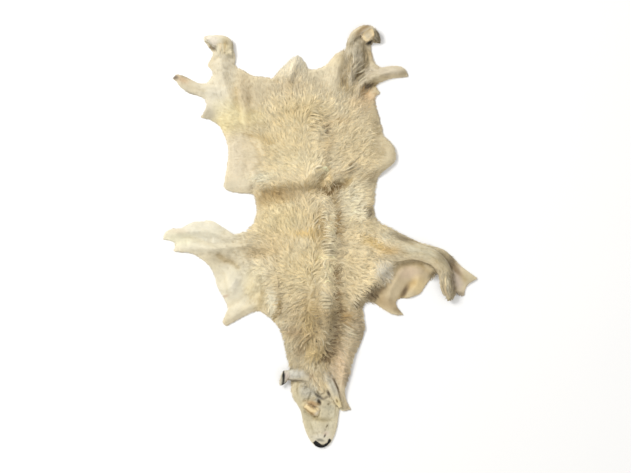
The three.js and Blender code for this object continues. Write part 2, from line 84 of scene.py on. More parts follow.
# The hair. Lengths are in millimetres.
WOOL_LENGTH = 22  # hair longer than this grows in locks
SLEEK_LENGTH = 17  # hair shorter than this shows the skin's creases
RIM_MARGIN = 1.0
UNDER_SKIN = 1.5
LOWEST = 0.2
LOCK_ROUNDNESS = 1.3
SKIN_NORMAL_SHARE = 0.66  # how much the hair is shaded like the skin below it
MOST_TRIANGLES = 190000  # in one piece of the coat
LOCK_STEPS = 8  # between two points of a lock's line
BARE_THINNING = 0.92  # share of the hair that is missing where the skin is quite bare
CLUMP_LENGTHS = (0.75, 1.2)  # least and most, as shares of the length at that place
HAIR_LENGTHS = (0.7, 1.1)
HAIR_STANDS = (0.6, 1.1)
HAIR_WIDTHS = (0.7, 1.3)
HAIR_ROLL = 0.3
PHASE_SPREAD = 0.45
PHASE_DRIFT = 5
TONE_LIMIT = 1.7
LEAST_RISE = 0.8  # of a hair above the floor, past its root
MOST_FALL = 0.9  # of a hair, for each step along it
MOST_RISE = 1.1
HAIR_TONE = 0.04
MOTTLE_TONE = 0.05
WARMTH = 0.03
WARM_SHIFT = np.array([0.6, 0.0, -1.2])
COLOUR_RANGE = (0.002, 0.95)


def srgb(red, green, blue):
    """A colour given as 0 to 255, in the linear numbers that shaders use."""
    share = np.array([red, green, blue]) / 255
    return np.where(share <= 0.04045, share / 12.92, ((share + 0.055) / 1.055) ** 2.4)


CREAM = srgb(224, 206, 168)
PATCH_SWAY = [(41, 1), (17, 0.5), (0, 0.16)]  # least reach of a patch, and how much it sways
COAT_BALANCE = np.array([0.962, 0.985, 1.01])
VALLEY_SHADE = np.array([0.040, 0.060, 0.105])  # lost for each millimetre of depth
TIP_SHADE = 1.06
EVEN_SHADE = 0.36  # the mean of the shade across a lock
FLESH = srgb(224, 208, 180)

# Patches of colour over the cream, painted in this order: place, reach along and across, turn in
# degrees, colour and strength.
TINTS = [
    # Rump.
    (0, 500, 190, 90, 0, (226, 210, 174), 0.6),
    # Left foreleg and armpit.
    (-430, 5, 150, 75, 5, (230, 222, 198), 0.95), (-300, -170, 120, 120, 0, (233, 223, 196), 0.9),
    # The light patch at (-298, -165) is painted light that offsets the shade beside a crease there.
    (-224, -160, 44, 66, 0, (244, 228, 186), 0.8), (-298, -165, 10, 24, -32, (246, 236, 212), 0.8),
    (-332, -207, 14, 5, 24, (192, 166, 136), 0.8), (-495, -8, 62, 24, 0, (239, 230, 194), 0.6),
    (-492, 20, 34, 10, 0, (213, 196, 166), 0.6), (-420, 40, 66, 22, 5, (228, 222, 204), 0.3),
    (-410, -20, 70, 9, -18, (206, 192, 158), 0.45), (-338, -76, 62, 23, -8, (193, 178, 147), 0.72),
    (-370, -95, 26, 34, 0, (196, 184, 154), 0.5), (-196, -62, 60, 22, 0, (190, 165, 120), 0.75),
    # Left hind leg.
    (-340, 620, 62, 95, 0, (220, 210, 186), 0.7), (-312, 610, 16, 70, 0, (204, 192, 166), 0.5),
    (-334, 664, 22, 26, 0, (199, 180, 142), 0.65), (-378, 688, 42, 18, 0, (228, 219, 195), 0.8),
    # The dark patch at (-374, 660) is painted shade in the hollow under the folded toe flap.
    (-374, 660, 16, 9, -30, (104, 92, 70), 0.9), (-331, 682, 9, 12, 0, (204, 182, 128), 0.7),
    (-306, 680, 5, 26, 16, (176, 162, 134), 0.5), (-445, 524, 76, 26, -20, (212, 201, 176), 0.85),
    (-484, 552, 26, 11, -20, (194, 164, 126), 0.85), (-511, 559, 13, 10, 0, (112, 96, 80), 0.95),
    # The grey line at (-452, 503) is painted shade along the heel strap's lower edge.
    (-478, 563, 26, 4, -22, (124, 112, 94), 0.6), (-452, 503, 44, 4, -24, (170, 160, 140), 0.6),
    (-366, 486, 60, 72, 0, (232, 223, 200), 0.75), (-292, 402, 95, 48, 0, (240, 222, 166), 0.9),
    (-318, 446, 60, 40, 0, (238, 224, 180), 0.6), (-392, 430, 26, 34, 30, (174, 164, 142), 0.8),
    (-262, 500, 26, 70, 5, (206, 186, 150), 0.75),
    # Left rump and flap.
    (-200, 530, 80, 60, 0, (216, 200, 168), 0.5), (-272, 270, 80, 120, 0, (228, 213, 184), 0.85),
    (-300, 185, 60, 26, 0, (216, 204, 176), 0.6), (-200, 208, 60, 18, 0, (232, 222, 190), 0.8),
    (-212, 350, 36, 14, -20, (196, 176, 136), 0.5), (-225, 385, 50, 16, 0, (204, 184, 144), 0.5),
    # Tail.
    # The patch at (-116, 616) darkens the tail's left face and the one at (-74, 590) lightens its
    # right face: painted shade and painted light that even out how the key light falls on it.
    (-95, 600, 58, 48, 30, (235, 223, 196), 0.9), (-116, 616, 24, 46, 30, (220, 206, 175), 0.5),
    (-74, 590, 20, 44, 30, (234, 222, 194), 0.5), (-58, 580, 26, 8, 35, (214, 202, 172), 0.4),
    (-100, 520, 60, 30, 0, (210, 188, 150), 0.5),
    # Right rump and hind leg.
    (22, 560, 60, 70, 20, (227, 212, 179), 0.85), (130, 590, 56, 120, 0, (195, 182, 158), 0.9),
    (104, 660, 20, 60, -8, (196, 184, 158), 0.6), (156, 628, 9, 40, 8, (124, 112, 86), 0.8),
    (140, 570, 16, 34, -30, (144, 128, 98), 0.7), (124, 640, 8, 44, -6, (204, 194, 168), 0.6),
    # Painted shade: the brown patch at (148, 722) inside the roll at the leg's end, the dark one at
    # (199, 698) on the roll's shaded tip and the near-black one at (169, 677) in the hollow under
    # the lining.
    (84, 566, 15, 80, 4, (172, 154, 120), 0.5), (148, 722, 34, 11, 36, (138, 108, 62), 0.95),
    (199, 698, 14, 34, 14, (104, 94, 74), 0.95), (164, 702, 26, 22, 20, (228, 214, 188), 1.0),
    (169, 677, 13, 11, 30, (20, 16, 12), 1.0), (112, 600, 2.5, 60, 6, (138, 124, 96), 0.6),
    (98, 570, 2.5, 60, 2, (208, 196, 168), 0.5), (134, 556, 40, 2.5, 44, (136, 122, 94), 0.6),
    (146, 590, 36, 2.5, 42, (212, 202, 176), 0.65), (156, 576, 36, 2.5, 40, (134, 120, 92), 0.6),
    (128, 640, 2.5, 40, -12, (140, 126, 98), 0.55), (140, 652, 2.5, 34, -16, (206, 196, 170), 0.5),
    (118, 676, 2.5, 30, -24, (146, 132, 104), 0.5), (236, 578, 84, 22, 3, (216, 202, 176), 0.85),
    (292, 570, 20, 16, 0, (178, 164, 136), 0.8), (170, 560, 34, 10, 25, (208, 192, 160), 0.7),
    # Right thigh, flank and side.
    # The dark patch at (164, 524) is a painted shadow under the fold where the leg's skin lies over
    # the flank.
    (164, 494, 28, 26, 0, (230, 196, 150), 0.95), (164, 524, 24, 9, 28, (66, 52, 36), 0.95),
    (140, 460, 46, 30, 0, (220, 192, 148), 0.5), (196, 400, 22, 80, 0, (176, 158, 122), 0.6),
    (216, 290, 52, 56, 0, (214, 198, 163), 0.65), (110, 310, 90, 90, 0, (220, 200, 158), 0.6),
    # Back and loin.
    (-130, 320, 110, 120, 0, (223, 202, 154), 0.55), (-60, 430, 90, 50, 0, (220, 196, 144), 0.6),
    (40, 400, 60, 12, 0, (204, 176, 130), 0.6), (14, 330, 16, 60, 0, (206, 182, 138), 0.5),
    (-80, 250, 90, 34, 0, (228, 212, 172), 0.6),
    # Waist and ribs.
    # The dark patch at (26, 164) is painted shade in the fold at the waist.
    (-146, 128, 84, 32, 8, (166, 136, 86), 0.8), (26, 164, 58, 17, 14, (98, 74, 34), 0.88),
    (30, 110, 24, 44, 0, (184, 160, 118), 0.6), (176, 196, 22, 12, 0, (152, 136, 106), 0.6),
    (-130, 50, 100, 70, 0, (234, 212, 160), 0.7), (-42, -6, 46, 14, -6, (218, 182, 108), 0.7),
    (108, 110, 50, 80, 0, (245, 231, 195), 0.9), (168, 86, 18, 26, 0, (112, 96, 72), 0.75),
    (150, 30, 70, 26, 0, (204, 186, 146), 0.5), (18, 30, 17, 90, 0, (222, 209, 174), 0.75),
    (-12, 0, 16, 90, 0, (176, 150, 102), 0.7),
    # Right shoulder and foreleg.
    (110, -90, 70, 110, 0, (242, 220, 174), 0.8), (180, -24, 52, 16, -24, (206, 174, 106), 0.7),
    (238, -46, 46, 18, 0, (210, 174, 112), 0.75), (236, 6, 50, 20, -20, (226, 214, 182), 0.65),
    (286, -4, 60, 12, -22, (132, 118, 92), 0.75), (350, -48, 80, 26, -8, (213, 205, 179), 0.85),
    (436, -70, 40, 34, -40, (164, 150, 120), 0.85), (460, -88, 14, 26, 20, (112, 96, 74), 0.85),
    (436, -158, 22, 46, 0, (191, 177, 149), 0.85), (430, -166, 4, 38, 4, (118, 105, 80), 0.6),
    (442, -156, 5, 40, 4, (226, 215, 186), 0.6), (458, -150, 8, 50, 12, (130, 114, 84), 0.8),
    # Right foot and end flap.
    (454, -210, 22, 12, 0, (148, 132, 100), 0.85), (482, -142, 20, 48, 10, (196, 178, 158), 0.95),
    (478, -118, 9, 22, 40, (136, 116, 88), 0.75), (522, -146, 30, 24, -20, (204, 188, 152), 0.95),
    (486, -198, 22, 8, 0, (132, 118, 102), 0.7),
    # Right armpit and breast.
    (292, -152, 100, 62, 15, (192, 172, 136), 1.0), (314, -124, 42, 24, 0, (206, 182, 152), 0.8),
    (342, -168, 26, 34, -30, (228, 202, 150), 0.85),
    (258, -172, 20, 34, -10, (214, 194, 156), 0.7), (296, -192, 9, 26, -28, (104, 86, 64), 0.85),
    (196, -186, 46, 26, 30, (134, 114, 82), 0.9), (232, -232, 56, 26, -20, (180, 156, 116), 0.9),
    (274, -258, 20, 12, -30, (142, 122, 90), 0.75), (392, -128, 22, 8, 45, (96, 80, 56), 0.7),
    (214, -112, 30, 40, 40, (212, 205, 188), 0.85), (164, -196, 28, 20, 40, (100, 82, 58), 0.85),
    (132, -234, 20, 24, 40, (128, 112, 84), 0.7),
    # Left shoulder and breast.
    (-150, -40, 60, 60, 0, (214, 190, 144), 0.5), (-205, -220, 26, 50, -20, (240, 219, 172), 0.75),
    # The dark line at (-147, -262) is painted shade in the gap beside the breast lock.
    (-164, -236, 20, 50, -8, (238, 228, 198), 0.9), (-147, -262, 5, 34, -25, (120, 100, 70), 0.75),
    (-60, -120, 90, 90, 0, (230, 209, 160), 0.6),
    # Neck.
    (0, -330, 150, 130, 0, (186, 164, 124), 0.8), (-96, -350, 34, 80, 8, (196, 180, 146), 0.6),
    (-128, -294, 46, 15, -24, (226, 213, 180), 0.7),
    (-84, -320, 42, 20, -14, (176, 152, 116), 0.75), (-112, -410, 20, 80, 8, (208, 196, 164), 0.6),
    (-48, -354, 42, 6, 30, (218, 200, 164), 0.6), (-66, -388, 34, 14, 24, (170, 144, 106), 0.6),
    (-40, -290, 16, 84, 0, (194, 168, 116), 0.7), (-22, -396, 26, 32, -10, (204, 178, 122), 0.65),
    (4, -296, 32, 66, -6, (155, 137, 103), 0.85), (4, -330, 10, 34, 20, (200, 184, 150), 0.5),
    (92, -330, 48, 90, 0, (202, 184, 152), 0.75), (76, -272, 22, 20, -30, (186, 152, 96), 0.8),
    (96, -338, 32, 14, -28, (212, 196, 164), 0.6), (60, -450, 34, 90, 12, (214, 190, 158), 0.75),
    (-70, -430, 40, 40, 0, (202, 184, 148), 0.6),
    # Shade beside the mane and the crest.
    (8, -412, 24, 15, 28, (92, 72, 44), 0.9), (31, -360, 8, 24, -6, (92, 70, 42), 0.9),
    (24, -390, 10, 12, 0, (88, 68, 42), 0.9), (37, -316, 8, 28, 0, (84, 64, 38), 0.95),
    (50, -266, 8, 30, 0, (82, 62, 38), 0.9), (40, -200, 7, 60, 4, (132, 106, 68), 0.8),
    (54, -40, 7, 44, 0, (166, 144, 106), 0.55), (42, -196, 13, 16, 0, (136, 106, 66), 0.9),
    (30, -136, 13, 34, 0, (140, 112, 72), 0.9), (44, 30, 14, 60, 0, (166, 134, 82), 0.9),
    (32, 120, 7, 40, 0, (146, 122, 82), 0.7), (10, 372, 6, 24, 0, (112, 94, 72), 0.85),
    (-26, 398, 26, 3, 0, (120, 96, 64), 0.7), (2, 421, 14, 4, 20, (112, 90, 62), 0.75),
    (2, 304, 3, 30, 0, (168, 142, 100), 0.7),
    # Right loin.
    (110, 254, 22, 4, 30, (128, 110, 84), 0.7), (60, 214, 34, 4, 22, (160, 138, 104), 0.6),
    (168, 214, 40, 10, 16, (172, 154, 120), 0.6),
    # Right rim of the neck: painted shade where the rim rounds down, at (126, -320) and (90, -510).
    (126, -320, 12, 80, 8, (140, 120, 92), 0.6), (90, -510, 9, 80, 6, (150, 136, 112), 0.7),
    (92, -590, 16, 20, 0, (186, 166, 132), 0.9),
    # Head.
    (-40, -440, 46, 20, 0, (228, 211, 174), 0.7), (0, -640, 90, 110, 0, (212, 200, 168), 0.95),
    (-76, -570, 26, 60, 0, (204, 192, 158), 0.7), (-40, -534, 30, 30, -30, (206, 200, 182), 0.85),
    (-38, -556, 4, 22, -20, (150, 142, 118), 0.7), (-50, -525, 9, 4, -10, (126, 116, 96), 0.8),
    # Ears and forelock.
    (-92, -478, 50, 22, 0, (212, 206, 190), 0.95), (-100, -462, 34, 5, 8, (176, 166, 140), 0.6),
    (-86, -501, 42, 4, -5, (108, 94, 72), 0.85), (-115, -488, 12, 7, 20, (212, 192, 178), 0.85),
    (-129, -506, 5, 12, 0, (40, 32, 26), 0.9), (-4, -462, 26, 16, 0, (190, 166, 122), 0.6),
    (0, -506, 20, 42, 22, (238, 217, 175), 0.9), (-29, -472, 3, 18, 8, (140, 104, 72), 0.85),
    (-18, -506, 3, 26, 26, (156, 128, 88), 0.8), (36, -506, 16, 56, 27, (204, 196, 176), 0.95),
    (26, -492, 3, 36, 26, (170, 160, 136), 0.6), (44, -532, 4, 20, 24, (164, 152, 128), 0.6),
    (50, -510, 4, 56, 26, (132, 108, 78), 0.75), (62, -578, 9, 22, 24, (234, 212, 160), 0.95),
    (57, -571, 3, 8, 20, (104, 76, 26), 0.9),
    # Horn scars and eye hole.
    (-14, -549, 8, 13, 30, (50, 42, 30), 0.95), (27, -546, 6, 14, 24, (62, 50, 36), 0.9),
    (0, -562, 14, 6, -30, (66, 56, 42), 0.9), (18, -562, 12, 5, 14, (132, 116, 92), 0.8),
    (-18, -568, 8, 3, 24, (128, 112, 92), 0.6), (-8, -570, 9, 7, 0, (208, 204, 192), 0.7),
    (-5, -579, 7, 11.5, 18, (4, 4, 3), 1.0), (28, -585, 5, 5, 0, (110, 98, 64), 0.9),
    # Dried skin.
    (-28, -581, 22, 9, -16, (196, 160, 112), 0.9), (-24, -590, 20, 2.5, -24, (130, 92, 46), 0.85),
    (-34, -606, 32, 12, -36, (240, 214, 160), 1.0), (-14, -612, 12, 12, 0, (230, 210, 166), 0.95),
    (-37, -612, 24, 2.5, -36, (148, 118, 68), 0.85), (-48, -618, 16, 6, -30, (180, 164, 124), 0.7),
    # Face.
    (-6, -636, 40, 9, -6, (172, 157, 118), 0.7), (-46, -650, 8, 44, 14, (190, 178, 142), 0.5),
    (-30, -668, 3, 26, 20, (170, 156, 118), 0.6), (40, -636, 12, 50, -6, (224, 214, 184), 0.6),
    (52, -610, 3, 24, -6, (176, 160, 122), 0.6), (30, -600, 18, 10, 0, (180, 174, 150), 0.5),
    # Muzzle and nose.
    (-30, -700, 5, 4, 0, (136, 122, 92), 0.6), (-12, -690, 3, 4, 0, (140, 126, 96), 0.6),
    (2, -704, 42, 26, 0, (226, 216, 192), 0.85), (20, -689, 12, 9, 0, (224, 206, 186), 0.8),
    (15, -697, 7, 3.5, 62, (52, 40, 30), 0.95), (23, -662, 7, 3, 58, (104, 88, 54), 0.9),
    (17, -676, 6, 2.5, 64, (160, 144, 108), 0.7), (-2, -712, 15, 6, -12, (112, 106, 92), 0.8),
    (2, -733, 24, 6, -4, (14, 13, 12), 1.0), (32, -715, 5, 7, 20, (20, 18, 16), 0.95),
]

# Where the skin shows through thin hair or none: place, reach along and across, turn and share.
BARE_PLACES = [
    (300, -150, 92, 50, 15, 0.95),  # right armpit
    (232, -226, 54, 26, -20, 0.8),  # right armpit, lower
    (494, -146, 48, 44, 0, 1.0),  # right end flap
    (164, 700, 26, 24, 20, 1.0),  # right hind lining
    (169, 664, 16, 22, 10, 1.0),  # right hind hollow
    (168, 500, 26, 28, 0, 0.9),  # right peach patch
    (-492, 554, 28, 14, -20, 0.9),  # left heel strap, end
    (-374, 660, 18, 12, -30, 0.9),  # left toe, hollow
    (-128, -500, 12, 24, 0, 0.9),  # left ear, tip
    (62, -576, 9, 24, 22, 0.9),  # right ear, slot
    (-4, -578, 13, 17, 15, 1.0),  # eye hole
    (8, -554, 34, 16, 0, 0.8),  # horn scars
    (-34, -602, 28, 18, -30, 1.0),  # dried skin
    (4, -734, 44, 16, 0, 1.0),  # nose
    (296, 568, 16, 16, 0, 0.7),  # right heel strap, tip
]

# Where dark and light streaks run through the hair: place, reach along and across, turn and how
# many times stronger than elsewhere.
STREAKED_PLACES = [
    (130, 600, 60, 120, 0, 1.7),  # right hind leg
    (170, -180, 50, 50, 0, 1.6),  # right breast
    (0, -620, 80, 120, 0, 1.8),  # face
    (-90, -480, 50, 30, 0, 1.8),  # left ear
    (40, -520, 30, 60, 0, 1.8),  # right ear
    (60, 540, 60, 60, 0, 0.8),  # right rump
    (20, -340, 130, 120, 0, 0.9),  # neck
    (0, 0, 40, 460, 0, 0.7),  # spine
    (330, -40, 120, 50, -10, 1.2),  # right foreleg
    (440, -110, 50, 110, 0, 1.6),  # right knee
    (-270, -60, 110, 40, 0, 1.0),  # left elbow
    (-40, 450, 150, 50, 0, 0.6),  # rump
    (-330, 600, 50, 90, 0, 0.7),  # left shank
]

# Where small dark pits and specks show: place, reach along and across, turn and strength.
PITTED_PLACES = [
    (0, -640, 64, 100, 0, 0.8),  # face
    (-60, -530, 46, 40, -20, 1.0),  # left temple
    (-96, -480, 46, 20, 0, 0.9),  # left ear
    (40, -520, 16, 60, 26, 0.9),  # right ear
    (-490, 550, 30, 14, -20, 1.0),  # left heel strap, end
    (260, 576, 50, 16, 0, 0.5),  # right heel strap
]

# How the hair grows: place, reach, the way it points in degrees from x, its length, how high it
# stands off the skin and how far it waves to each side.
HAIR_PLACES = [
    # Crest and mane, from the rump to the poll.
    (-6, 430, 50, -12, 38, 5.5, 3.5), (-10, 350, 50, -16, 32, 5.0, 3.0),
    (4, 262, 45, 34, 32, 5.2, 3.0), (2, 170, 45, 24, 40, 6.5, 4.0), (8, 110, 45, 44, 48, 7.5, 4.0),
    (8, 44, 50, 62, 56, 9.0, 4.5), (12, -50, 50, 58, 58, 9.5, 5.0),
    (8, -150, 50, 30, 52, 9.5, 6.0), (4, -250, 50, 22, 47, 9.0, 5.0),
    (-4, -340, 45, 0, 42, 8.5, 5.0), (-14, -416, 40, -78, 40, 7.0, 3.5),
    # Left side of the back and neck.
    (-120, 470, 80, 106, 28, 5.0, 2.5), (-120, 350, 80, 124, 27, 4.4, 2.5),
    (-120, 250, 70, 138, 25, 4.2, 2.4), (-130, 120, 70, 126, 28, 5.0, 3.0),
    (-120, 30, 80, 112, 29, 5.5, 3.4), (-110, -80, 80, 128, 31, 5.8, 3.6),
    (-110, -190, 70, 196, 32, 6.0, 3.8), (-76, -300, 60, 222, 36, 7.0, 4.0),
    (-80, -390, 55, 238, 28, 5.0, 2.5), (-84, -450, 45, 250, 17, 3.0, 1.5),
    # Right side of the back and neck.
    (80, 470, 70, 64, 23, 4.0, 2.2), (90, 370, 80, 44, 27, 4.6, 2.6),
    (110, 260, 80, 34, 26, 4.4, 2.4), (110, 130, 80, 20, 28, 5.5, 3.0),
    (100, 30, 80, 18, 29, 5.5, 3.4), (100, -80, 80, -10, 32, 6.2, 4.0),
    (96, -180, 60, -34, 34, 6.6, 4.2), (92, -280, 60, -18, 42, 8.0, 5.0),
    (90, -360, 55, -16, 36, 6.5, 4.0), (84, -440, 55, -38, 24, 4.0, 2.0),
    (86, -560, 45, -74, 11, 2.0, 0.8),
    # Left hind leg and flap.
    (-250, 470, 70, 118, 18, 3.0, 1.2), (-335, 540, 60, 104, 13, 2.0, 0.6),
    (-345, 630, 50, 98, 11, 1.8, 0.5), (-385, 686, 36, 172, 9, 1.5, 0.4),
    (-340, 690, 26, -84, 21, 3.5, 1.0), (-450, 528, 60, 158, 9, 1.5, 0.4),
    (-384, 430, 45, 196, 10, 1.6, 0.4), (-290, 400, 60, 160, 20, 3.5, 1.6),
    (-270, 280, 70, 184, 12, 2.0, 0.7), (-295, 190, 45, 222, 10, 1.8, 0.5),
    (-190, 208, 40, 206, 26, 5.0, 2.5),
    # Left foreleg.
    (-212, 90, 36, 186, 17, 3.5, 1.5), (-205, -20, 55, 172, 26, 5.5, 2.8),
    (-290, -20, 55, 172, 14, 2.5, 1.0), (-400, 10, 70, 174, 10, 1.8, 0.5),
    (-505, 0, 50, 178, 8, 1.3, 0.3),
    # Left armpit and breast.
    (-300, -80, 45, 214, 12, 2.0, 0.7), (-315, -150, 55, 236, 9, 1.5, 0.4),
    (-290, -250, 55, 236, 9, 1.5, 0.4), (-220, -180, 45, 240, 17, 3.2, 1.4),
    (-180, -250, 36, 252, 20, 4.0, 1.8),
    # Rump and tail.
    (20, 560, 60, 74, 13, 2.2, 0.7), (-30, 510, 55, 86, 22, 4.0, 1.6),
    (-200, 540, 60, 100, 14, 2.4, 0.8), (-92, 590, 45, 76, 24, 3.8, 1.5),
    # Right hind leg.
    (90, 550, 40, 84, 21, 3.0, 1.2), (126, 640, 50, 94, 21, 2.8, 1.2),
    (126, 705, 36, 50, 10, 1.8, 0.5), (185, 568, 36, 18, 17, 2.4, 0.8),
    (260, 578, 50, 2, 8, 1.4, 0.3),
    # Right flank and waist.
    (186, 420, 55, 14, 19, 3.6, 1.5), (212, 300, 55, -12, 18, 3.4, 1.4),
    (172, 180, 45, 2, 18, 3.4, 1.4), (166, 96, 40, -14, 20, 4.0, 2.0),
    # Right foreleg.
    (200, 20, 55, -24, 25, 4.8, 2.4), (262, -30, 50, -14, 18, 3.2, 1.4),
    (345, -50, 55, -12, 15, 2.6, 0.8), (430, -80, 40, -56, 16, 3.0, 1.0),
    (438, -150, 36, -84, 25, 5.0, 1.6), (452, -205, 26, -96, 26, 5.0, 2.0),
    (508, -145, 40, -38, 6, 1.0, 0.2),
    # Right breast and armpit.
    (205, -108, 40, -46, 34, 7.0, 4.0), (146, -190, 32, -56, 32, 7.0, 3.5),
    (300, -140, 50, -62, 6, 1.0, 0.2), (232, -222, 45, -58, 8, 1.3, 0.4),
    # Head.
    (-14, -496, 26, -70, 26, 4.0, 1.5), (-88, -480, 34, 184, 9, 1.5, 0.4),
    (42, -526, 30, -64, 10, 1.6, 0.4), (-66, -545, 36, 226, 11, 1.8, 0.5),
    (-62, -610, 36, 112, 9, 1.5, 0.4), (42, -620, 36, 70, 9, 1.5, 0.4),
    (-4, -650, 40, 94, 8, 1.3, 0.3), (0, -708, 30, 96, 5, 0.9, 0.1),
]

# Ridges of the coat and the skin: height, reach to the left and to the right, and the crest line
# from the nose towards the tail.
RIDGES = [
    (6, 34, 11, [(-16, -430), (4, -412), (18, -390), (30, -364), (33, -330)]),  # mane end
    (5.5, 40, 10, [(33, -330), (38, -296), (47, -268), (44, -240), (34, -205), (30, -150)]),  # mane
    (6, 40, 9, [(30, -150), (33, -110), (42, -66), (42, -14), (32, 30), (20, 84)]),  # withers
    (8, 40, 10, [(-30, 178), (-12, 196), (0, 218), (10, 246)]),  # loin
    (5, 40, 14, [(20, 84), (26, 112), (18, 140)]),  # ribs
    (3, 50, 10, [(4, 268), (-1, 300), (1, 344)]),  # back
    (6.5, 46, 10, [(2, 344), (5, 372), (2, 400), (-6, 430), (-20, 450)]),  # rump
    (6, 24, 12, [(98, -520), (102, -450), (108, -380), (112, -320), (112, -270)]),  # right neck
    (4, 14, 9, [(-90, -384), (-62, -366), (-34, -348), (-12, -332)]),  # neck, slanting lock
    (5, 12, 8, [(-146, -280), (-152, -250), (-158, -220)]),  # left breast lock
    (4, 16, 14, [(120, 436), (60, 452), (0, 462), (-70, 470), (-150, 446)]),  # rump lock edge
    (5, 22, 12, [(148, -214), (176, -176), (204, -140), (236, -116)]),  # right armpit fringe
]

# Paint of the separate scraps of bare skin and of the nose.
PAINTS = {
    "pale": srgb(226, 216, 196),
    "cream": srgb(240, 216, 166),
    "flesh": srgb(216, 200, 168),
    "tan": srgb(206, 186, 146),
    "brown": srgb(146, 112, 66),
    "grey": srgb(196, 190, 172),
    "pink": srgb(208, 192, 178),
    "dark": srgb(44, 36, 30),
    "black": srgb(9, 8, 8),
    # Dark grey: in the fold of the left ear's tip, and along the nose's upper edge as a painted
    # highlight on the black.
    "dark_grey_and_highlight": srgb(44, 38, 34),
}

# Scraps of skin as rows of places across them: x, y, height above the pelt and paint.
EAR_TIP = [
    [(-132, -467, 6, "pale"), (-128, -466, 5, "dark_grey_and_highlight"), (-124, -465, 4, "pale"),
     (-118, -465, 5, "grey"), (-110, -465, 1, "pale")],
    [(-135, -481, 8, "grey"), (-131, -482, 4, "dark_grey_and_highlight"), (-126, -482, 2, "dark_grey_and_highlight"),
     (-120, -484, 6, "pink"), (-109, -485, 1, "pale")],
    [(-139, -499, 8, "pale"), (-134, -500, 6, "grey"), (-129, -500, 2, "dark_grey_and_highlight"),
     (-123, -502, 5, "grey"), (-116, -501, 2, "brown")],
    [(-144, -518, 6, "pale"), (-139, -519, 5, "grey"), (-133, -518, 3, "dark"),
     (-128, -515, 4, "dark_grey_and_highlight"), (-122, -511, 3, "dark")],
]
DRIED_SKIN = [
    [(-42, -584, 3, "brown"), (-51, -589, 4, "cream"), (-59, -598, 2, "tan")],
    [(-33, -588, 3, "brown"), (-43, -596, 5, "cream"), (-52, -604, 2, "brown")],
    [(-22, -594, 3, "brown"), (-32, -604, 5, "cream"), (-41, -612, 2, "brown")],
    [(-8, -596, 3, "tan"), (-20, -608, 5, "cream"), (-31, -620, 2, "brown")],
    [(-1, -606, 2, "tan"), (-9, -616, 4, "pale"), (-18, -628, 2, "tan")],
]
HIND_LINING = [
    # The brown along the top row is painted shade inside the roll.
    [(139, 702, 3, "brown"), (156, 714, 5, "tan"), (172, 724, 3, "brown")],
    [(143, 696, 4, "cream"), (163, 706, 4, "flesh"), (181, 722, 4, "cream")],
    [(150, 688, 4, "cream"), (168, 697, 4, "flesh"), (187, 708, 4, "cream")],
    [(158, 678, 6, "flesh"), (171, 684, 6, "cream"), (186, 692, 5, "tan")],
]
TOE_FLAP = [
    [(-407, 699, 2, "tan"), (-404, 697, 3, "pale"), (-401, 694, 2, "tan")],
    [(-390, 703, 1, "pale"), (-389, 691, 3, "pale"), (-387, 676, 3, "grey")],
    [(-368, 703, 0, "pale"), (-370, 687, 2, "pale"), (-374, 664, 3, "pale")],
    [(-340, 702, -3, "tan"), (-346, 682, -2, "pale"), (-354, 659, -2, "tan")],
]
# The nose's upper edge is painted dark grey: a painted highlight on the black leather.
NOSE = [
    [(-26, -721, 1, "dark_grey_and_highlight"), (-21, -716, 2, "black"), (-17, -712, 0, "dark_grey_and_highlight")],
    [(-20, -731, 1, "black"), (-15, -724, 3, "black"), (-8, -719, 1, "dark_grey_and_highlight")],
    [(-8, -737, 1, "black"), (-5, -732, 3, "black"), (-3, -723, 2, "dark_grey_and_highlight")],
    [(6, -739, 1, "black"), (6, -735, 4, "black"), (8, -730, 1, "dark_grey_and_highlight")],
    [(19, -734, 1, "black"), (17, -730, 3, "black"), (15, -725, 2, "dark_grey_and_highlight")],
    [(30, -724, 1, "black"), (27, -721, 3, "black"), (24, -719, 1, "dark_grey_and_highlight")],
    [(38, -711, 1, "black"), (34, -709, 2, "black"), (31, -705, 0, "dark_grey_and_highlight")],
]

# The line along the spine where the longest locks grow, and how far from it.
CREST_REACH = 10
CREST = [
    (-4, 236), (6, 215), (4, 150), (2, 80), (6, 20), (10, -40), (4, -110),
    (0, -180), (-2, -260), (-8, -330), (-22, -390),
]
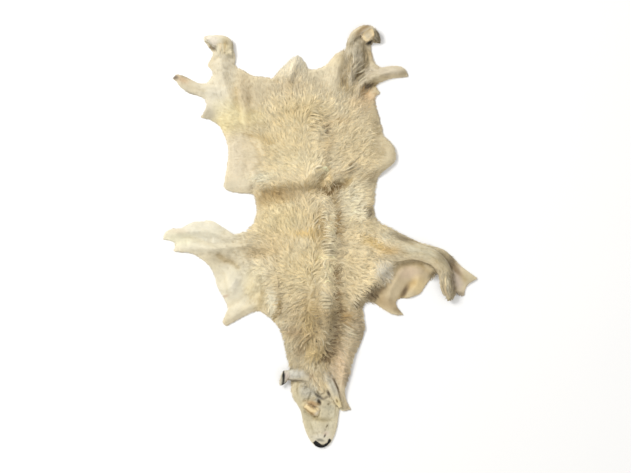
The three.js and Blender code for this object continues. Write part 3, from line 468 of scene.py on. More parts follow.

# Locks placed one by one, with the dark gaps between them: breadth, height above the skin, paint
# and the line from root to tip.
LOCK_PAINTS = {
    "pale": srgb(236, 226, 196),
    "silver": srgb(214, 204, 172),
    "cream": srgb(232, 214, 170),
    "gold": srgb(196, 164, 108),
    "tan": srgb(198, 176, 136),
    "grey": srgb(168, 152, 120),
    "slate": srgb(134, 122, 98),
    "brown": srgb(138, 112, 72),
    "dark": srgb(88, 70, 44),
}
# Painted shade: the dark locks in the withers and on the breast, and the brown ones at the crest,
# on the breast and beside the neck's slanting lock, lie in the gaps between lighter locks.
LOCKS = [
    # Rump.
    (5.6, 10, "silver", [(-40, 438), (-19, 438), (2, 430)]),
    (5.6, 10, "cream", [(-40, 427), (-19, 427), (2, 416)]),
    (5.6, 10, "silver", [(-44, 415), (-23, 415), (2, 404)]),
    (5.6, 10, "cream", [(-44, 402), (-23, 399), (-2, 392)]),
    (4.2, 9, "tan", [(-47, 390), (-26, 387), (-2, 382)]),
    (3.5, 9, "brown", [(-16, 411), (-2, 408), (5, 396)]),
    (11.2, 10, "cream", [(-37, 374), (-16, 373), (-2, 364)]),
    (7.7, 8, "grey", [(-5, 371), (-2, 357), (-12, 343)]),
    (3.1, 8, "brown", [(-72, 462), (-86, 448), (-89, 430)]),
    (3.1, 8, "tan", [(-40, 462), (-58, 457), (-68, 448)]),
    # Loin.
    (11.9, 11, "pale", [(12, 248), (-9, 245), (-26, 234)]),
    (7, 10, "silver", [(23, 234), (2, 220), (-19, 200)]),
    (7, 10, "cream", [(33, 228), (16, 214), (2, 200)]),
    (4.5, 10, "brown", [(23, 220), (9, 206), (-2, 192)]),
    (3.5, 10, "brown", [(2, 217), (-9, 206), (-19, 200)]),
    (3.5, 9, "brown", [(-16, 200), (-23, 189), (-30, 182)]),
    (4.5, 8, "brown", [(96, 245), (110, 256), (121, 262)]),
    (5.6, 8, "pale", [(82, 231), (103, 242), (124, 256)]),
    (4.2, 8, "tan", [(75, 214), (110, 234), (145, 248)]),
    # Waist.
    (4.2, 10, "cream", [(-5, 147), (-16, 142), (-26, 140)]),
    (3.5, 10, "cream", [(-2, 156), (-12, 152), (-19, 154)]),
    (4.2, 12, "pale", [(2, 130), (16, 119), (30, 105)]),
    (4.2, 12, "cream", [(12, 130), (26, 124), (37, 112)]),
    (4.2, 12, "tan", [(-2, 119), (9, 108), (19, 98)]),
    # Ribs.
    (6, 13, "silver", [(-2, 80), (16, 88), (33, 74)]),
    (6, 13, "silver", [(-5, 72), (16, 79), (33, 63)]),
    (6, 13, "pale", [(-5, 63), (16, 68), (30, 52)]),
    (6, 13, "silver", [(-5, 54), (12, 54), (26, 42)]),
    (5.2, 12, "pale", [(-2, 66), (-12, 56), (-30, 38)]),
    (5.2, 12, "cream", [(-2, 77), (-16, 66), (-30, 52)]),
    (5.2, 12, "pale", [(2, 46), (-5, 35), (-2, 24)]),
    (4.2, 12, "silver", [(2, 30), (23, 32), (47, 21)]),
    (4.2, 12, "pale", [(2, 21), (23, 21), (51, 10)]),
    (4.2, 12, "silver", [(-2, 10), (23, 12), (54, 4)]),
    (4.9, 12, "pale", [(-2, 0), (26, 4), (65, -4)]),
    # Withers.
    (5.6, 13, "silver", [(-5, -24), (12, -12), (37, -10)]),
    (5.6, 13, "pale", [(-5, -35), (16, -23), (54, -23)]),
    (5.6, 13, "silver", [(-5, -44), (19, -33), (54, -33)]),
    (5.6, 13, "pale", [(-2, -52), (23, -44), (58, -44)]),
    (5.6, 13, "silver", [(2, -60), (26, -52), (58, -54)]),
    (5.6, 13, "pale", [(5, -66), (30, -61), (61, -65)]),
    (4.2, 13, "dark", [(30, -15), (44, -15), (58, -16)]),
    (2.8, 13, "brown", [(2, -30), (16, -21), (33, -19)]),
    (2.6, 14, "dark", [(-2, -40), (20, -28), (54, -28)]),
    (2.6, 14, "dark", [(0, -48), (22, -39), (56, -39)]),
    (2.6, 14, "dark", [(2, -56), (24, -48), (58, -49)]),
    (2.6, 14, "dark", [(4, -63), (28, -57), (60, -60)]),
    (4.9, 13, "pale", [(9, -70), (18, -80), (10, -94), (19, -105), (12, -116)]),
    (4.2, 13, "cream", [(19, -74), (28, -91), (24, -108), (9, -122)]),
    (5.2, 13, "pale", [(2, -119), (18, -124), (16, -140), (2, -150)]),
    (4.2, 12, "pale", [(2, -158), (16, -170), (30, -186)]),
    (4.2, 12, "cream", [(-2, -172), (12, -178), (26, -192)]),
    (6.3, 8, "brown", [(61, -140), (68, -150), (72, -158)]),
    # Mane.
    (11.2, 13, "pale", [(-5, -186), (9, -196), (26, -200)]),
    (11, 13, "silver", [(-9, -210), (16, -206), (44, -212)]),
    (11, 13, "silver", [(-9, -220), (16, -219), (44, -220)]),
    (11, 13, "silver", [(-5, -238), (19, -233), (51, -231)]),
    (10, 13, "silver", [(-2, -248), (23, -245), (44, -242)]),
    (6.3, 12, "grey", [(-2, -266), (23, -261), (40, -254)]),
    (6.3, 12, "grey", [(2, -284), (26, -275), (44, -264)]),
    (4.9, 12, "tan", [(5, -301), (26, -290), (47, -276)]),
    (5.2, 13, "grey", [(-2, -315), (16, -313), (33, -322)]),
    (5.2, 13, "silver", [(-2, -326), (16, -329), (33, -346)]),
    (5.2, 13, "tan", [(2, -336), (16, -345), (26, -364)]),
    (5.2, 13, "silver", [(-2, -346), (9, -360), (12, -382)]),
    (9.1, 12, "silver", [(12, -364), (26, -369), (37, -378)]),
    # Neck.
    (6, 7, "tan", [(-23, -326), (-51, -345), (-72, -366), (-86, -385)]),
    (5.6, 9, "brown", [(-12, -334), (-40, -354), (-58, -371), (-72, -392)]),
    (12.6, 6, "grey", [(-65, -276), (-70, -301), (-82, -329)]),
    # Breast.
    (3.5, 8, "brown", [(-124, -238), (-138, -256), (-152, -287)]),
    (3.5, 7, "tan", [(-166, -122), (-150, -150), (-150, -175), (-166, -192)]),
    (4, 10, "pale", [(110, -214), (124, -224), (142, -238)]),
    (4, 10, "pale", [(110, -224), (124, -234), (138, -252)]),
    (4, 10, "pale", [(110, -234), (121, -245), (131, -259)]),
    (4, 10, "pale", [(117, -203), (131, -214), (145, -224)]),
    (3.9, 10, "dark", [(114, -220), (128, -231), (142, -245)]),
    (3.9, 10, "dark", [(114, -231), (124, -242), (136, -256)]),
    (3.5, 10, "brown", [(121, -210), (131, -219), (145, -231)]),
    # Right side of the neck.
    (4.2, 9, "brown", [(86, -262), (103, -280), (124, -294), (142, -298)]),
    (5.6, 9, "grey", [(79, -271), (100, -290), (128, -308)]),
    (4.2, 9, "brown", [(72, -287), (93, -304), (117, -320), (138, -332)]),
    (5.6, 9, "silver", [(72, -298), (96, -315), (128, -331)]),
    (6.3, 9, "silver", [(79, -329), (107, -336), (138, -346)]),
    # Right hind leg.
    (10.5, 6, "grey", [(156, 651), (161, 630), (156, 606)]),
    (11.9, 6, "grey", [(156, 574), (138, 560), (121, 542)]),
    (3.5, 7, "silver", [(110, 567), (138, 576), (166, 592)]),
    (3.1, 7, "silver", [(107, 581), (128, 602), (149, 626)]),
    (3.1, 7, "silver", [(124, 584), (142, 598), (163, 616)]),
    (2.8, 7, "slate", [(103, 588), (121, 609), (142, 634)]),
    (2.8, 7, "slate", [(117, 583), (138, 602), (159, 621)]),
    (3.5, 7, "silver", [(124, 528), (142, 548), (170, 567)]),
    (3.1, 7, "brown", [(89, 522), (82, 550), (79, 578)]),
    (3.1, 7, "slate", [(114, 546), (108, 581), (110, 616)]),
    (2.8, 7, "brown", [(72, 522), (72, 550), (65, 574)]),
    (2.8, 7, "slate", [(114, 486), (107, 514), (103, 542)]),
    # Rolled end of the right hind leg: its dark and slate locks are painted shade on the roll's
    # shaded tip.
    (5.6, 3, "dark", [(186, 724), (189, 707), (187, 690)]),
    (9.1, 3, "slate", [(191, 721), (198, 700), (212, 682)]),
    (4.9, 3, "dark", [(184, 684), (198, 682), (212, 679)]),
    # Right foot.
    (7.7, 5, "grey", [(420, -158), (424, -182), (439, -214)]),
    (8.4, 5, "tan", [(432, -150), (434, -182), (446, -220)]),
    (8.4, 5, "slate", [(446, -158), (448, -189), (455, -224)]),
    (7.7, 5, "slate", [(457, -164), (462, -192), (460, -220)]),
    (8.4, 5, "cream", [(436, -126), (434, -154), (439, -182)]),
    (7, 4, "slate", [(464, -178), (469, -196), (464, -217)]),
]

# The fringe of the left toe: where each broad lock hangs, its paint and where it ends.
LOCKS += [
    (20, 2, paint, [(x, 680), (x, 658), (x + 1, end)])
    for x, paint, end in (
        (-355, "silver", 632), (-348, "tan", 640), (-341, "silver", 628), (-334, "tan", 636),
        (-327, "silver", 626), (-320, "silver", 634), (-313, "silver", 624),
    )
]

# Creases of the skin that show through the short hair: depth, reach to each side and the line.
# A depth below zero is a ridge.
CREASES = [
    # Right hind leg.
    (2.5, 11, [(158, 662), (154, 620), (140, 580), (122, 548), (112, 500)]),
    (3.0, 9, [(176, 640), (160, 600), (146, 584), (128, 566)]),
    (3.0, 9, [(104, 620), (98, 580), (92, 540), (92, 500)]),
    (1.2, 9, [(76, 632), (74, 590), (72, 545), (70, 510)]),
    (-2.5, 8, [(146, 620), (128, 590), (112, 560), (104, 524)]),
    (-3.0, 9, [(190, 600), (172, 588), (150, 582), (132, 590)]),
    (2.0, 7, [(296, 574), (270, 566), (240, 564), (214, 558)]),
    # Left hind leg.
    (0.5, 9, [(-326, 570), (-322, 535), (-314, 500), (-300, 470)]),
    (2.0, 10, [(-376, 622), (-352, 628), (-330, 622)]),
    (-13.0, 15, [(-352, 650), (-334, 640), (-312, 648)]), (-4.0, 20, [(-345, 622), (-316, 622)]),
    (4.0, 7, [(-386, 666), (-366, 654)]), (0.6, 12, [(-250, 520), (-252, 480), (-246, 440)]),
    (2.0, 9, [(-296, 520), (-292, 480), (-286, 440)]),
    (1.5, 7, [(-480, 536), (-445, 522), (-405, 512)]),
    # Waist, loin and neck.
    (2.6, 18, [(-192, 152), (-150, 152), (-110, 166), (-50, 166), (-10, 160)]),
    (6.0, 12, [(-6, 158), (30, 165), (68, 180), (90, 192)]),
    (5.0, 8, [(-14, 180), (4, 198), (18, 224)]),
    (2.5, 12, [(20, -430), (44, -380), (52, -320), (54, -250), (52, -180)]),
    # Left flank and flap.
    (2.0, 9, [(-262, 362), (-226, 352), (-196, 334), (-160, 322)]),
    (0.8, 16, [(-262, 330), (-260, 270), (-266, 216)]),
    # Left foreleg and armpit.
    (-1.0, 11, [(-470, 8), (-432, -14), (-392, -24), (-340, -22), (-300, -34)]),
    (0.5, 12, [(-440, 44), (-410, 22), (-370, 12), (-330, 8)]),
    (3.5, 10, [(-356, -64), (-336, -80), (-310, -88), (-288, -104)]),
    (-2.8, 9, [(-340, -208), (-312, -196), (-292, -178), (-282, -146)]),
    (0.7, 4, [(-344, -210), (-326, -204), (-300, -188), (-284, -168), (-280, -144)]),
    (1.2, 10, [(-322, -240), (-288, -220), (-262, -196), (-240, -170)]),
    (1.0, 10, [(-272, -262), (-252, -232), (-236, -196)]),
    (0.8, 8, [(-336, -130), (-330, -170), (-322, -196)]),
    # Left breast.
    (1.2, 9, [(-212, -254), (-206, -222), (-196, -190), (-186, -160)]),
    (5.0, 7, [(-158, -292), (-148, -264), (-138, -240), (-128, -216)]),
    # Right armpit and foreleg.
    (5.0, 10, [(282, -216), (296, -192), (312, -170), (326, -158)]),
    (1.5, 14, [(206, -236), (214, -200), (232, -168), (250, -140)]),
    (2.5, 10, [(252, -120), (280, -100), (310, -92), (350, -94)]),
    (2.0, 9, [(352, -100), (376, -118), (392, -132)]),
    (2.0, 9, [(300, -12), (340, -34), (390, -48), (430, -66)]),
    (1.8, 8, [(290, -56), (330, -56), (370, -62), (404, -82)]),
    (3.5, 10, [(466, -100), (478, -118), (494, -134), (506, -150)]),
    # Right thigh.
    (5.0, 12, [(150, 504), (158, 518), (176, 528), (192, 534)]),
    # Head.
    (2.0, 6, [(-56, -600), (-38, -616), (-18, -630)]), (6.0, 6, [(-3, -573), (-6, -585)]),
    (2.0, 6, [(-60, -574), (-40, -568), (-22, -562)]),
    (1.8, 3, [(-66, -522), (-50, -517), (-37, -528), (-34, -548), (-44, -566)]),
    (0.9, 3, [(-58, -536), (-48, -532), (-44, -544), (-52, -556)]),
    (2.0, 4, [(-76, -506), (-84, -530), (-78, -552)]),
    (1.5, 8, [(-20, -636), (10, -646), (40, -640)]),
    (1.5, 6, [(-26, -690), (-4, -684), (20, -690)]),
]


LATTICE = (97, 89)  # cells before a noise repeats

class Noise:
    """Smooth random heights from -1 to 1 over the floor, the same for the same seed."""

    def __init__(self, seed, size):
        self.size = size
        self.lattice = np.random.default_rng(seed).uniform(-1, 1, LATTICE)

    def at(self, x, y):
        u = np.asarray(x) / self.size
        v = np.asarray(y) / self.size
        i = np.floor(u).astype(int)
        j = np.floor(v).astype(int)
        s = u - i
        t = v - j
        s = s * s * (3 - 2 * s)
        t = t * t * (3 - 2 * t)
        rows, columns = self.lattice.shape

        def corner(di, dj):
            return self.lattice[(j + dj) % rows, (i + di) % columns]

        low = corner(0, 0) * (1 - s) + corner(1, 0) * s
        high = corner(0, 1) * (1 - s) + corner(1, 1) * s
        return low * (1 - t) + high * t


SWAY_X = Noise(3, 34)
SWAY_Y = Noise(4, 34)
FINE_SWAY_X = Noise(5, 11)
FINE_SWAY_Y = Noise(6, 11)
TUFTS = Noise(7, 19)
FINE_TUFTS = Noise(8, 8)
MOTTLE = Noise(9, 26)
FINE_MOTTLE = Noise(10, 9)
PITS = Noise(11, 4.5)

SWAY = 9
FINE_SWAY = 4
CREASE_SWAY = 2
RIDGE_SWAY = 0.7  # share of the whole sway
RIDGE_UNEVENNESS = 0.35
PATCH_EDGE = 1.6  # more gives a patch a sharper edge
PIT_LEVEL = 0.35
PIT_DARKNESS = 0.55
DEEPEST_VALLEY = 6  # a deeper one gets no darker
PLACE_HOLD = 1.5  # more makes the hair change faster from place to place
FAR_HOLD = 1e-9


def swayed(x, y, share):
    """The same places, moved a little, so that what is laid out there gets uneven edges."""
    return (
        x + share * (SWAY * SWAY_X.at(x, y) + FINE_SWAY * FINE_SWAY_X.at(x, y)),
        y + share * (SWAY * SWAY_Y.at(x, y) + FINE_SWAY * FINE_SWAY_Y.at(x, y)),
    )


def patch_share(x, y, px, py, along, across, turn):
    """1 inside a soft oval patch, falling to 0 outside it."""
    c = math.cos(math.radians(turn))
    s = math.sin(math.radians(turn))
    u = ((x - px) * c + (y - py) * s) / along
    v = ((y - py) * c - (x - px) * s) / across
    return np.exp(-((u * u + v * v) ** PATCH_EDGE))


def tint_at(x, y):
    """The hair's colour at places on the pelt."""
    placed = [(least, swayed(x, y, share)) for least, share in PATCH_SWAY]
    colour = np.tile(CREAM, (len(x), 1))
    for px, py, along, across, turn, shade, strength in TINTS:
        places = next(places for least, places in placed if min(along, across) >= least)
        share = strength * patch_share(*places, px, py, along, across, turn)
        colour += (srgb(*shade) - colour) * share[:, None]
    pits = np.clip(PITS.at(x, y) - PIT_LEVEL, 0, 1) * most_at(PITTED_PLACES, x, y)
    colour *= 1 - PIT_DARKNESS * pits[:, None]
    hollow = np.clip(crease_depth_at(x, y), 0, DEEPEST_VALLEY)[:, None]
    return COAT_BALANCE * colour * np.exp(-VALLEY_SHADE * hollow)


def most_at(table, x, y):
    """The largest share of any patch of a table at places on the pelt."""
    most = np.zeros(len(x))
    for px, py, along, across, turn, share in table:
        most = np.maximum(most, share * patch_share(x, y, px, py, along, across, turn))
    return most


def hair_at(x, y):
    """The hair's heading in radians, its length, stand and wave at places on the pelt."""
    px, py, reach, heading, length, stand, wave = np.array(HAIR_PLACES, dtype=float).T
    gap = np.hypot(x[:, None] - px, y[:, None] - py) / reach
    weight = np.exp(-PLACE_HOLD * gap * gap) + FAR_HOLD / (1 + gap**6)
    weight /= weight.sum(axis=1, keepdims=True)
    turn = np.radians(heading)
    pointing = np.arctan2(weight @ np.sin(turn), weight @ np.cos(turn))
    return pointing, weight @ length, weight @ stand, weight @ wave


def ways_from_line(x, y, line):
    """For each stretch of a line, its run and the way from its nearest point to each place."""
    for (ax, ay), (bx, by) in zip(line, line[1:]):
        dx, dy = bx - ax, by - ay
        t = np.clip(((x - ax) * dx + (y - ay) * dy) / (dx * dx + dy * dy), 0, 1)
        yield dx, dy, x - ax - t * dx, y - ay - t * dy

def distance_to_line(x, y, line):
    nearest = np.full(len(x), np.inf)
    for _, _, away_x, away_y in ways_from_line(x, y, line):
        nearest = np.minimum(nearest, np.hypot(away_x, away_y))
    return nearest


def crease_depth_at(x, y):
    wx, wy = x + CREASE_SWAY * FINE_SWAY_X.at(x, y), y + CREASE_SWAY * FINE_SWAY_Y.at(x, y)
    depth = np.zeros(len(x))
    for deep, reach, line in CREASES:
        gap = distance_to_line(wx, wy, line) / reach
        depth += deep * np.exp(-gap * gap)
    return depth


def ridge_height_at(x, y):
    """Ridges fall away slowly on one side and steeply on the other."""
    height = np.zeros(len(x))
    uneven = 1 + RIDGE_UNEVENNESS * SWAY_X.at(x, y)
    x, y = swayed(x, y, RIDGE_SWAY)
    for high, left, right, line in RIDGES:
        gap = np.full(len(x), np.inf)
        side = np.ones(len(x))
        for dx, dy, away_x, away_y in ways_from_line(x, y, line):
            away = np.hypot(away_x, away_y)
            nearer = away < gap
            gap = np.where(nearer, away, gap)
            side = np.where(nearer, np.sign(dx * away_y - dy * away_x), side)
        reach = np.where(side > 0, left, right)
        height = np.maximum(height, high * np.exp(-((gap / reach) ** 2)))
    return height * uneven


def points_of(mesh):
    points = np.empty(3 * len(mesh.vertices))
    mesh.vertices.foreach_get("co", points)
    return points.reshape(-1, 3)


def split_long_edges(shape, longest, chosen):
    """Halves the edges off the floor that are longer than this, where they are chosen."""
    edges = [
        e for e in shape.edges
        if e.calc_length() > longest * MM and max(c.co.z for c in e.verts) > FLOOR_GAP
    ]
    middles = np.array([(e.verts[0].co + e.verts[1].co) / (2 * MM) for e in edges])
    edges = [e for e, picked in zip(edges, chosen(middles[:, 0], middles[:, 1])) if picked]
    bmesh.ops.subdivide_edges(shape, edges=edges, cuts=1, use_grid_fill=True)
    bmesh.ops.triangulate(shape, faces=shape.faces[:])


def everywhere(x, y):
    return np.ones(len(x), dtype=bool)


def under_short_hair(x, y):
    return hair_at(x, y)[1] < SLEEK_LENGTH


def on_face(x, y):
    return y < FACE_START


def smoothed(points, edges, rounds):
    """Points moved towards their neighbours and back, which rounds edges but keeps the size."""
    count = np.bincount(edges.ravel(), minlength=len(points)).astype(float)[:, None]
    for amount in SMOOTHING_MOVES * rounds:
        total = np.zeros_like(points)
        np.add.at(total, edges[:, 0], points[edges[:, 1]])
        np.add.at(total, edges[:, 1], points[edges[:, 0]])
        points = points + amount * (total / count - points)
    return points


def paint_points(mesh, name, colour):
    """Stores a colour for each point of a mesh."""
    layer = mesh.color_attributes.new(name, "FLOAT_COLOR", "POINT")
    layer.data.foreach_set("color", np.column_stack([colour, np.ones(len(colour))]).ravel())


def store_values(mesh, name, values):
    layer = mesh.attributes.new(name, "FLOAT", "POINT")
    layer.data.foreach_set("value", values.astype(np.float32))


def make_hide(node):
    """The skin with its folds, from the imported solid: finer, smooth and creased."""
    shape = bmesh.new()
    shape.from_mesh(node.data)
    shape.transform(node.matrix_world)
    bmesh.ops.remove_doubles(shape, verts=shape.verts, dist=MERGE_GAP)
    bmesh.ops.dissolve_degenerate(shape, edges=shape.edges, dist=SHORTEST_EDGE)
    split_long_edges(shape, COARSE_EDGE, everywhere)
    split_long_edges(shape, FINE_EDGE, under_short_hair)
    split_long_edges(shape, FACE_EDGE, on_face)
    mesh = bpy.data.meshes.new("hide")
    shape.to_mesh(mesh)
    shape.free()

    points = points_of(mesh)
    resting = points[:, 2] < FLOOR_GAP
    edges = np.empty(2 * len(mesh.edges), dtype=int)
    mesh.edges.foreach_get("vertices", edges)
    points = smoothed(points, edges.reshape(-1, 2), SMOOTHING_ROUNDS)
    mesh.vertices.foreach_set("co", points.ravel())
    mesh.update()
    normals = np.empty(3 * len(points))
    mesh.vertices.foreach_get("normal", normals)
    upward = np.clip(normals.reshape(-1, 3)[:, 2], 0, 1)

    x, y = points[:, 0] / MM, points[:, 1] / MM
    _, length, _, _ = hair_at(x, y)
    woolly = np.clip(length / WOOLLY_LENGTH, 0, 1)
    lumps = woolly * (LUMP_HEIGHT * TUFTS.at(x, y) + FINE_LUMP_HEIGHT * FINE_TUFTS.at(x, y))
    grain = GRAIN_HEIGHT * FINE_TUFTS.at(GRAIN_SCALE * x, GRAIN_SCALE * y)
    relief = ridge_height_at(x, y) - crease_depth_at(x, y)
    points[:, 2] += MM * upward * (lumps + grain + relief)
    points[:, 2] = np.maximum(points[:, 2], 0)
    points[resting, 2] = 0
    mesh.vertices.foreach_set("co", points.ravel())
    mesh.update()

    under = (upward <= 0) & (points[:, 2] < UNDERSIDE_TOP)
    mottled = HIDE_MOTTLE * MOTTLE.at(x, y) + (1 - woolly) * SKIN_MOTTLE * FINE_MOTTLE.at(x, y)
    colour = tint_at(x, y) * (1 + mottled)[:, None]
    colour[resting] = FLESH
    bare = most_at(BARE_PLACES, x, y)
    bare[under] = 1
    paint_points(mesh, "tint", colour)
    store_values(mesh, "bare", bare)
    mesh.polygons.foreach_set("use_smooth", np.ones(len(mesh.polygons), dtype=bool))
    hide = bpy.data.objects.new("hide", mesh)
    bpy.context.scene.collection.objects.link(hide)
    return hide


FAR = 1e3
RAY_START = 0.2
RIM_SLOPE = 0.8  # how steeply the surface goes on falling past the rim
RELIEF_LOWEST = 0.6

class Relief:
    """The pelt's top surface as heights on an even grid. Past the rim it slopes to the floor."""

    def __init__(self, shown):
        tree = BVHTree.FromObject(shown, bpy.context.evaluated_depsgraph_get())
        half_x, half_y = RELIEF_HALF_SIZE
        self.low = np.array([-half_x, -half_y])
        xs = np.arange(-half_x, half_x + 1, RELIEF_CELL)
        ys = np.arange(-half_y, half_y + 1, RELIEF_CELL)
        heights = np.full((len(ys), len(xs)), -np.inf)
        down = Vector((0, 0, -1))
        for j, y in enumerate(ys):
            for i, x in enumerate(xs):
                spot, _, _, _ = tree.ray_cast(Vector((x * MM, y * MM, RAY_START)), down)
                if spot is not None:
                    heights[j, i] = spot.z / MM
        inside = np.isfinite(heights)
        self.depth = self.steps(~inside) - self.steps(inside)
        self.height = self.sloped(heights)

    @staticmethod
    def around(grid, edge):
        """The grid moved one cell each way, with the distance moved."""
        padded = np.pad(grid, 1, constant_values=edge)
        rows, columns = grid.shape
        for di in (0, 1, 2):
            for dj in (0, 1, 2):
                if (di, dj) != (1, 1):
                    gap = RELIEF_CELL * math.hypot(di - 1, dj - 1)
                    yield padded[di:di + rows, dj:dj + columns], gap

    def steps(self, target):
        """The way from each cell to the nearest cell of the target."""
        way = np.where(target, 0.0, FAR)
        for _ in range(RIM_SEARCH):
            for moved, gap in self.around(way, FAR):
                way = np.minimum(way, moved + gap)
        return way

    def sloped(self, heights):
        lowered = np.where(np.isfinite(heights), heights, -FAR)
        outside = ~np.isfinite(heights)
        for _ in range(RIM_SEARCH):
            for moved, gap in self.around(lowered, -FAR):
                lowered = np.where(outside, np.maximum(lowered, moved - RIM_SLOPE * gap), lowered)
        return np.maximum(lowered, RELIEF_LOWEST)

    def sample(self, grid, x, y):
        rows, columns = grid.shape
        u = np.clip((x - self.low[0]) / RELIEF_CELL, 0, columns - 1.001)
        v = np.clip((y - self.low[1]) / RELIEF_CELL, 0, rows - 1.001)
        i = u.astype(int)
        j = v.astype(int)
        s = u - i
        t = v - j
        low = grid[j, i] * (1 - s) + grid[j, i + 1] * s
        high = grid[j + 1, i] * (1 - s) + grid[j + 1, i + 1] * s
        return low * (1 - t) + high * t

    def height_at(self, x, y):
        return self.sample(self.height, x, y)

    def depth_at(self, x, y):
        """The way in from the rim, below zero outside."""
        return self.sample(self.depth, x, y)

    def normal_at(self, x, y):
        reach = RELIEF_CELL
        slope_x = (self.height_at(x + reach, y) - self.height_at(x - reach, y)) / (2 * reach)
        slope_y = (self.height_at(x, y + reach) - self.height_at(x, y - reach)) / (2 * reach)
        normal = np.stack([-slope_x, -slope_y, np.ones_like(slope_x)], axis=-1)
        return normal / np.linalg.norm(normal, axis=-1, keepdims=True)


def scattered(spacing, chance):
    """One point in each cell of an even grid over the whole floor, moved at random."""
    half_x, half_y = RELIEF_HALF_SIZE
    xs = np.arange(-half_x, half_x, spacing)
    ys = np.arange(-half_y, half_y, spacing)
    x, y = np.meshgrid(xs, ys)
    x = x + chance.uniform(0, spacing, x.shape)
    y = y + chance.uniform(0, spacing, y.shape)
    return x, y


def nearest_clump(x, y, heading, clump_x, clump_y, kind):
    """For each root, the number of the nearest clump centre. Clumps are long the way hair grows."""
    half_x, half_y = RELIEF_HALF_SIZE
    rows, columns = clump_x.shape
    i = ((x + half_x) / kind.clump_spacing).astype(int)
    j = ((y + half_y) / kind.clump_spacing).astype(int)
    c = np.cos(heading)
    s = np.sin(heading)
    best = np.full(len(x), np.inf)
    chosen = np.zeros(len(x), dtype=int)
    for dj in range(-2, 3):
        for di in range(-2, 3):
            row = np.clip(j + dj, 0, rows - 1)
            column = np.clip(i + di, 0, columns - 1)
            dx = clump_x[row, column] - x
            dy = clump_y[row, column] - y
            gap = np.hypot((dx * c + dy * s) / kind.clump_stretch, dy * c - dx * s)
            nearer = gap < best
            best = np.where(nearer, gap, best)
            chosen = np.where(nearer, row * columns + column, chosen)
    return chosen


class HairKind:
    """One kind of hair: how it is spaced, gathered into clumps and shaped."""

    def __init__(self, name, seed, spacing, rings, width, waves, overhang, lift):
        self.name = name
        self.seed = seed
        self.spacing = spacing
        self.rings = rings
        self.width = width
        self.waves = waves
        self.overhang = overhang
        self.lift = lift

    def clumped(self, spacing, stretch, pinch, stray, wander, bend, tone, gap_shade, root):
        self.clump_spacing = spacing
        self.clump_stretch = stretch
        self.pinch = pinch
        self.stray = stray
        self.wander = wander
        self.bend = bend
        self.tone = tone
        self.gap_shade = gap_shade
        self.root_shade = np.array(root)


MANE = HairKind("mane", seed=23, spacing=2.65, rings=6, width=1.9, waves=1.2, overhang=8, lift=1.15)
MANE.clumped(
    spacing=8, stretch=3.0, pinch=0.4, stray=0.6, wander=0.08, bend=(-0.95, 0.2), tone=0.10,
    gap_shade=0.65, root=(0.58, 0.47, 0.32),
)
WOOL = HairKind("wool", seed=21, spacing=3.42, rings=3, width=2.1, waves=0.8, overhang=8, lift=1.0)
WOOL.clumped(
    spacing=7, stretch=2.6, pinch=0.45, stray=0.9, wander=0.22, bend=(0, 0.34), tone=0.065,
    gap_shade=0.15, root=(0.76, 0.68, 0.52),
)
SHORT = HairKind("hair", seed=22, spacing=2.2, rings=1, width=1.7, waves=0.3, overhang=5, lift=1.0)
SHORT.clumped(
    spacing=5, stretch=3.5, pinch=0.2, stray=0.8, wander=0.1, bend=(0, 0.2), tone=0.06,
    gap_shade=0.12, root=(0.80, 0.73, 0.60),
)
LOCK = HairKind("lock", seed=24, spacing=4.4, rings=5, width=1.5, waves=0, overhang=8, lift=1.0)
LOCK.clumped(
    spacing=5, stretch=1, pinch=0.5, stray=1.3, wander=0, bend=(0, 0), tone=0.05, gap_shade=0.35,
    root=(0.84, 0.78, 0.66),
)


def lay_locks(kind, relief):
    """The locks placed one by one, as arrays like those of grow_hair."""
    chance = np.random.default_rng(kind.seed)
    stations = np.linspace(0, 1, kind.rings + 1)
    made = []
    for broad, lift, paint, line in LOCKS:
        curve = refined(line, LOCK_STEPS)
        along = np.insert(np.cumsum(np.linalg.norm(np.diff(curve, axis=0), axis=1)), 0, 0)
        count = max(5, round(broad * along[-1] / kind.spacing**2))
        start = chance.uniform(0, 0.38, count)[:, None]
        reach = chance.uniform(0.5, 0.62, count)[:, None]
        lean = np.clip(chance.normal(0, 0.5, count), -1.2, 1.2)
        share = start + reach * stations
        heading = np.gradient(curve, along, axis=0)
        heading /= np.linalg.norm(heading, axis=1, keepdims=True)
        x, y, east, north = (
            np.interp(share * along[-1], along, values) for values in (*curve.T, *heading.T)
        )
        across = 0.5 * broad * lean[:, None] * (1 - kind.pinch * share**2)
        stray_x, stray_y = chance.normal(0, kind.stray, (2, count, 1))
        x = x - north * across + stray_x * stations
        y = y + east * across + stray_y * stations
        stand = lift * (1.1 - 0.4 * lean**2) * chance.uniform(0.8, 1.05, count)
        rise = 1 - (1 - stations) ** 3
        z = relief.height_at(x, y) + stand[:, None] * rise
        z[:, 0] -= UNDER_SKIN
        z = np.maximum(z, z[:, :1] + (z[:, -1:] - z[:, :1]) * stations)
        tone = 1 + kind.tone * chance.normal(0, 1, count) + kind.gap_shade * (EVEN_SHADE - lean**2)
        made.append((
            np.stack([x, y, np.maximum(z, LOWEST)], axis=-1),
            kind.width * chance.uniform(*HAIR_WIDTHS, count),
            chance.normal(0, HAIR_ROLL, count),
            lean,
            (0.5 * LOCK_PAINTS[paint] + 0.5 * tint_at(x[:, 0], y[:, 0])) * tone[:, None],
        ))
    return [np.concatenate(values) for values in zip(*made)]


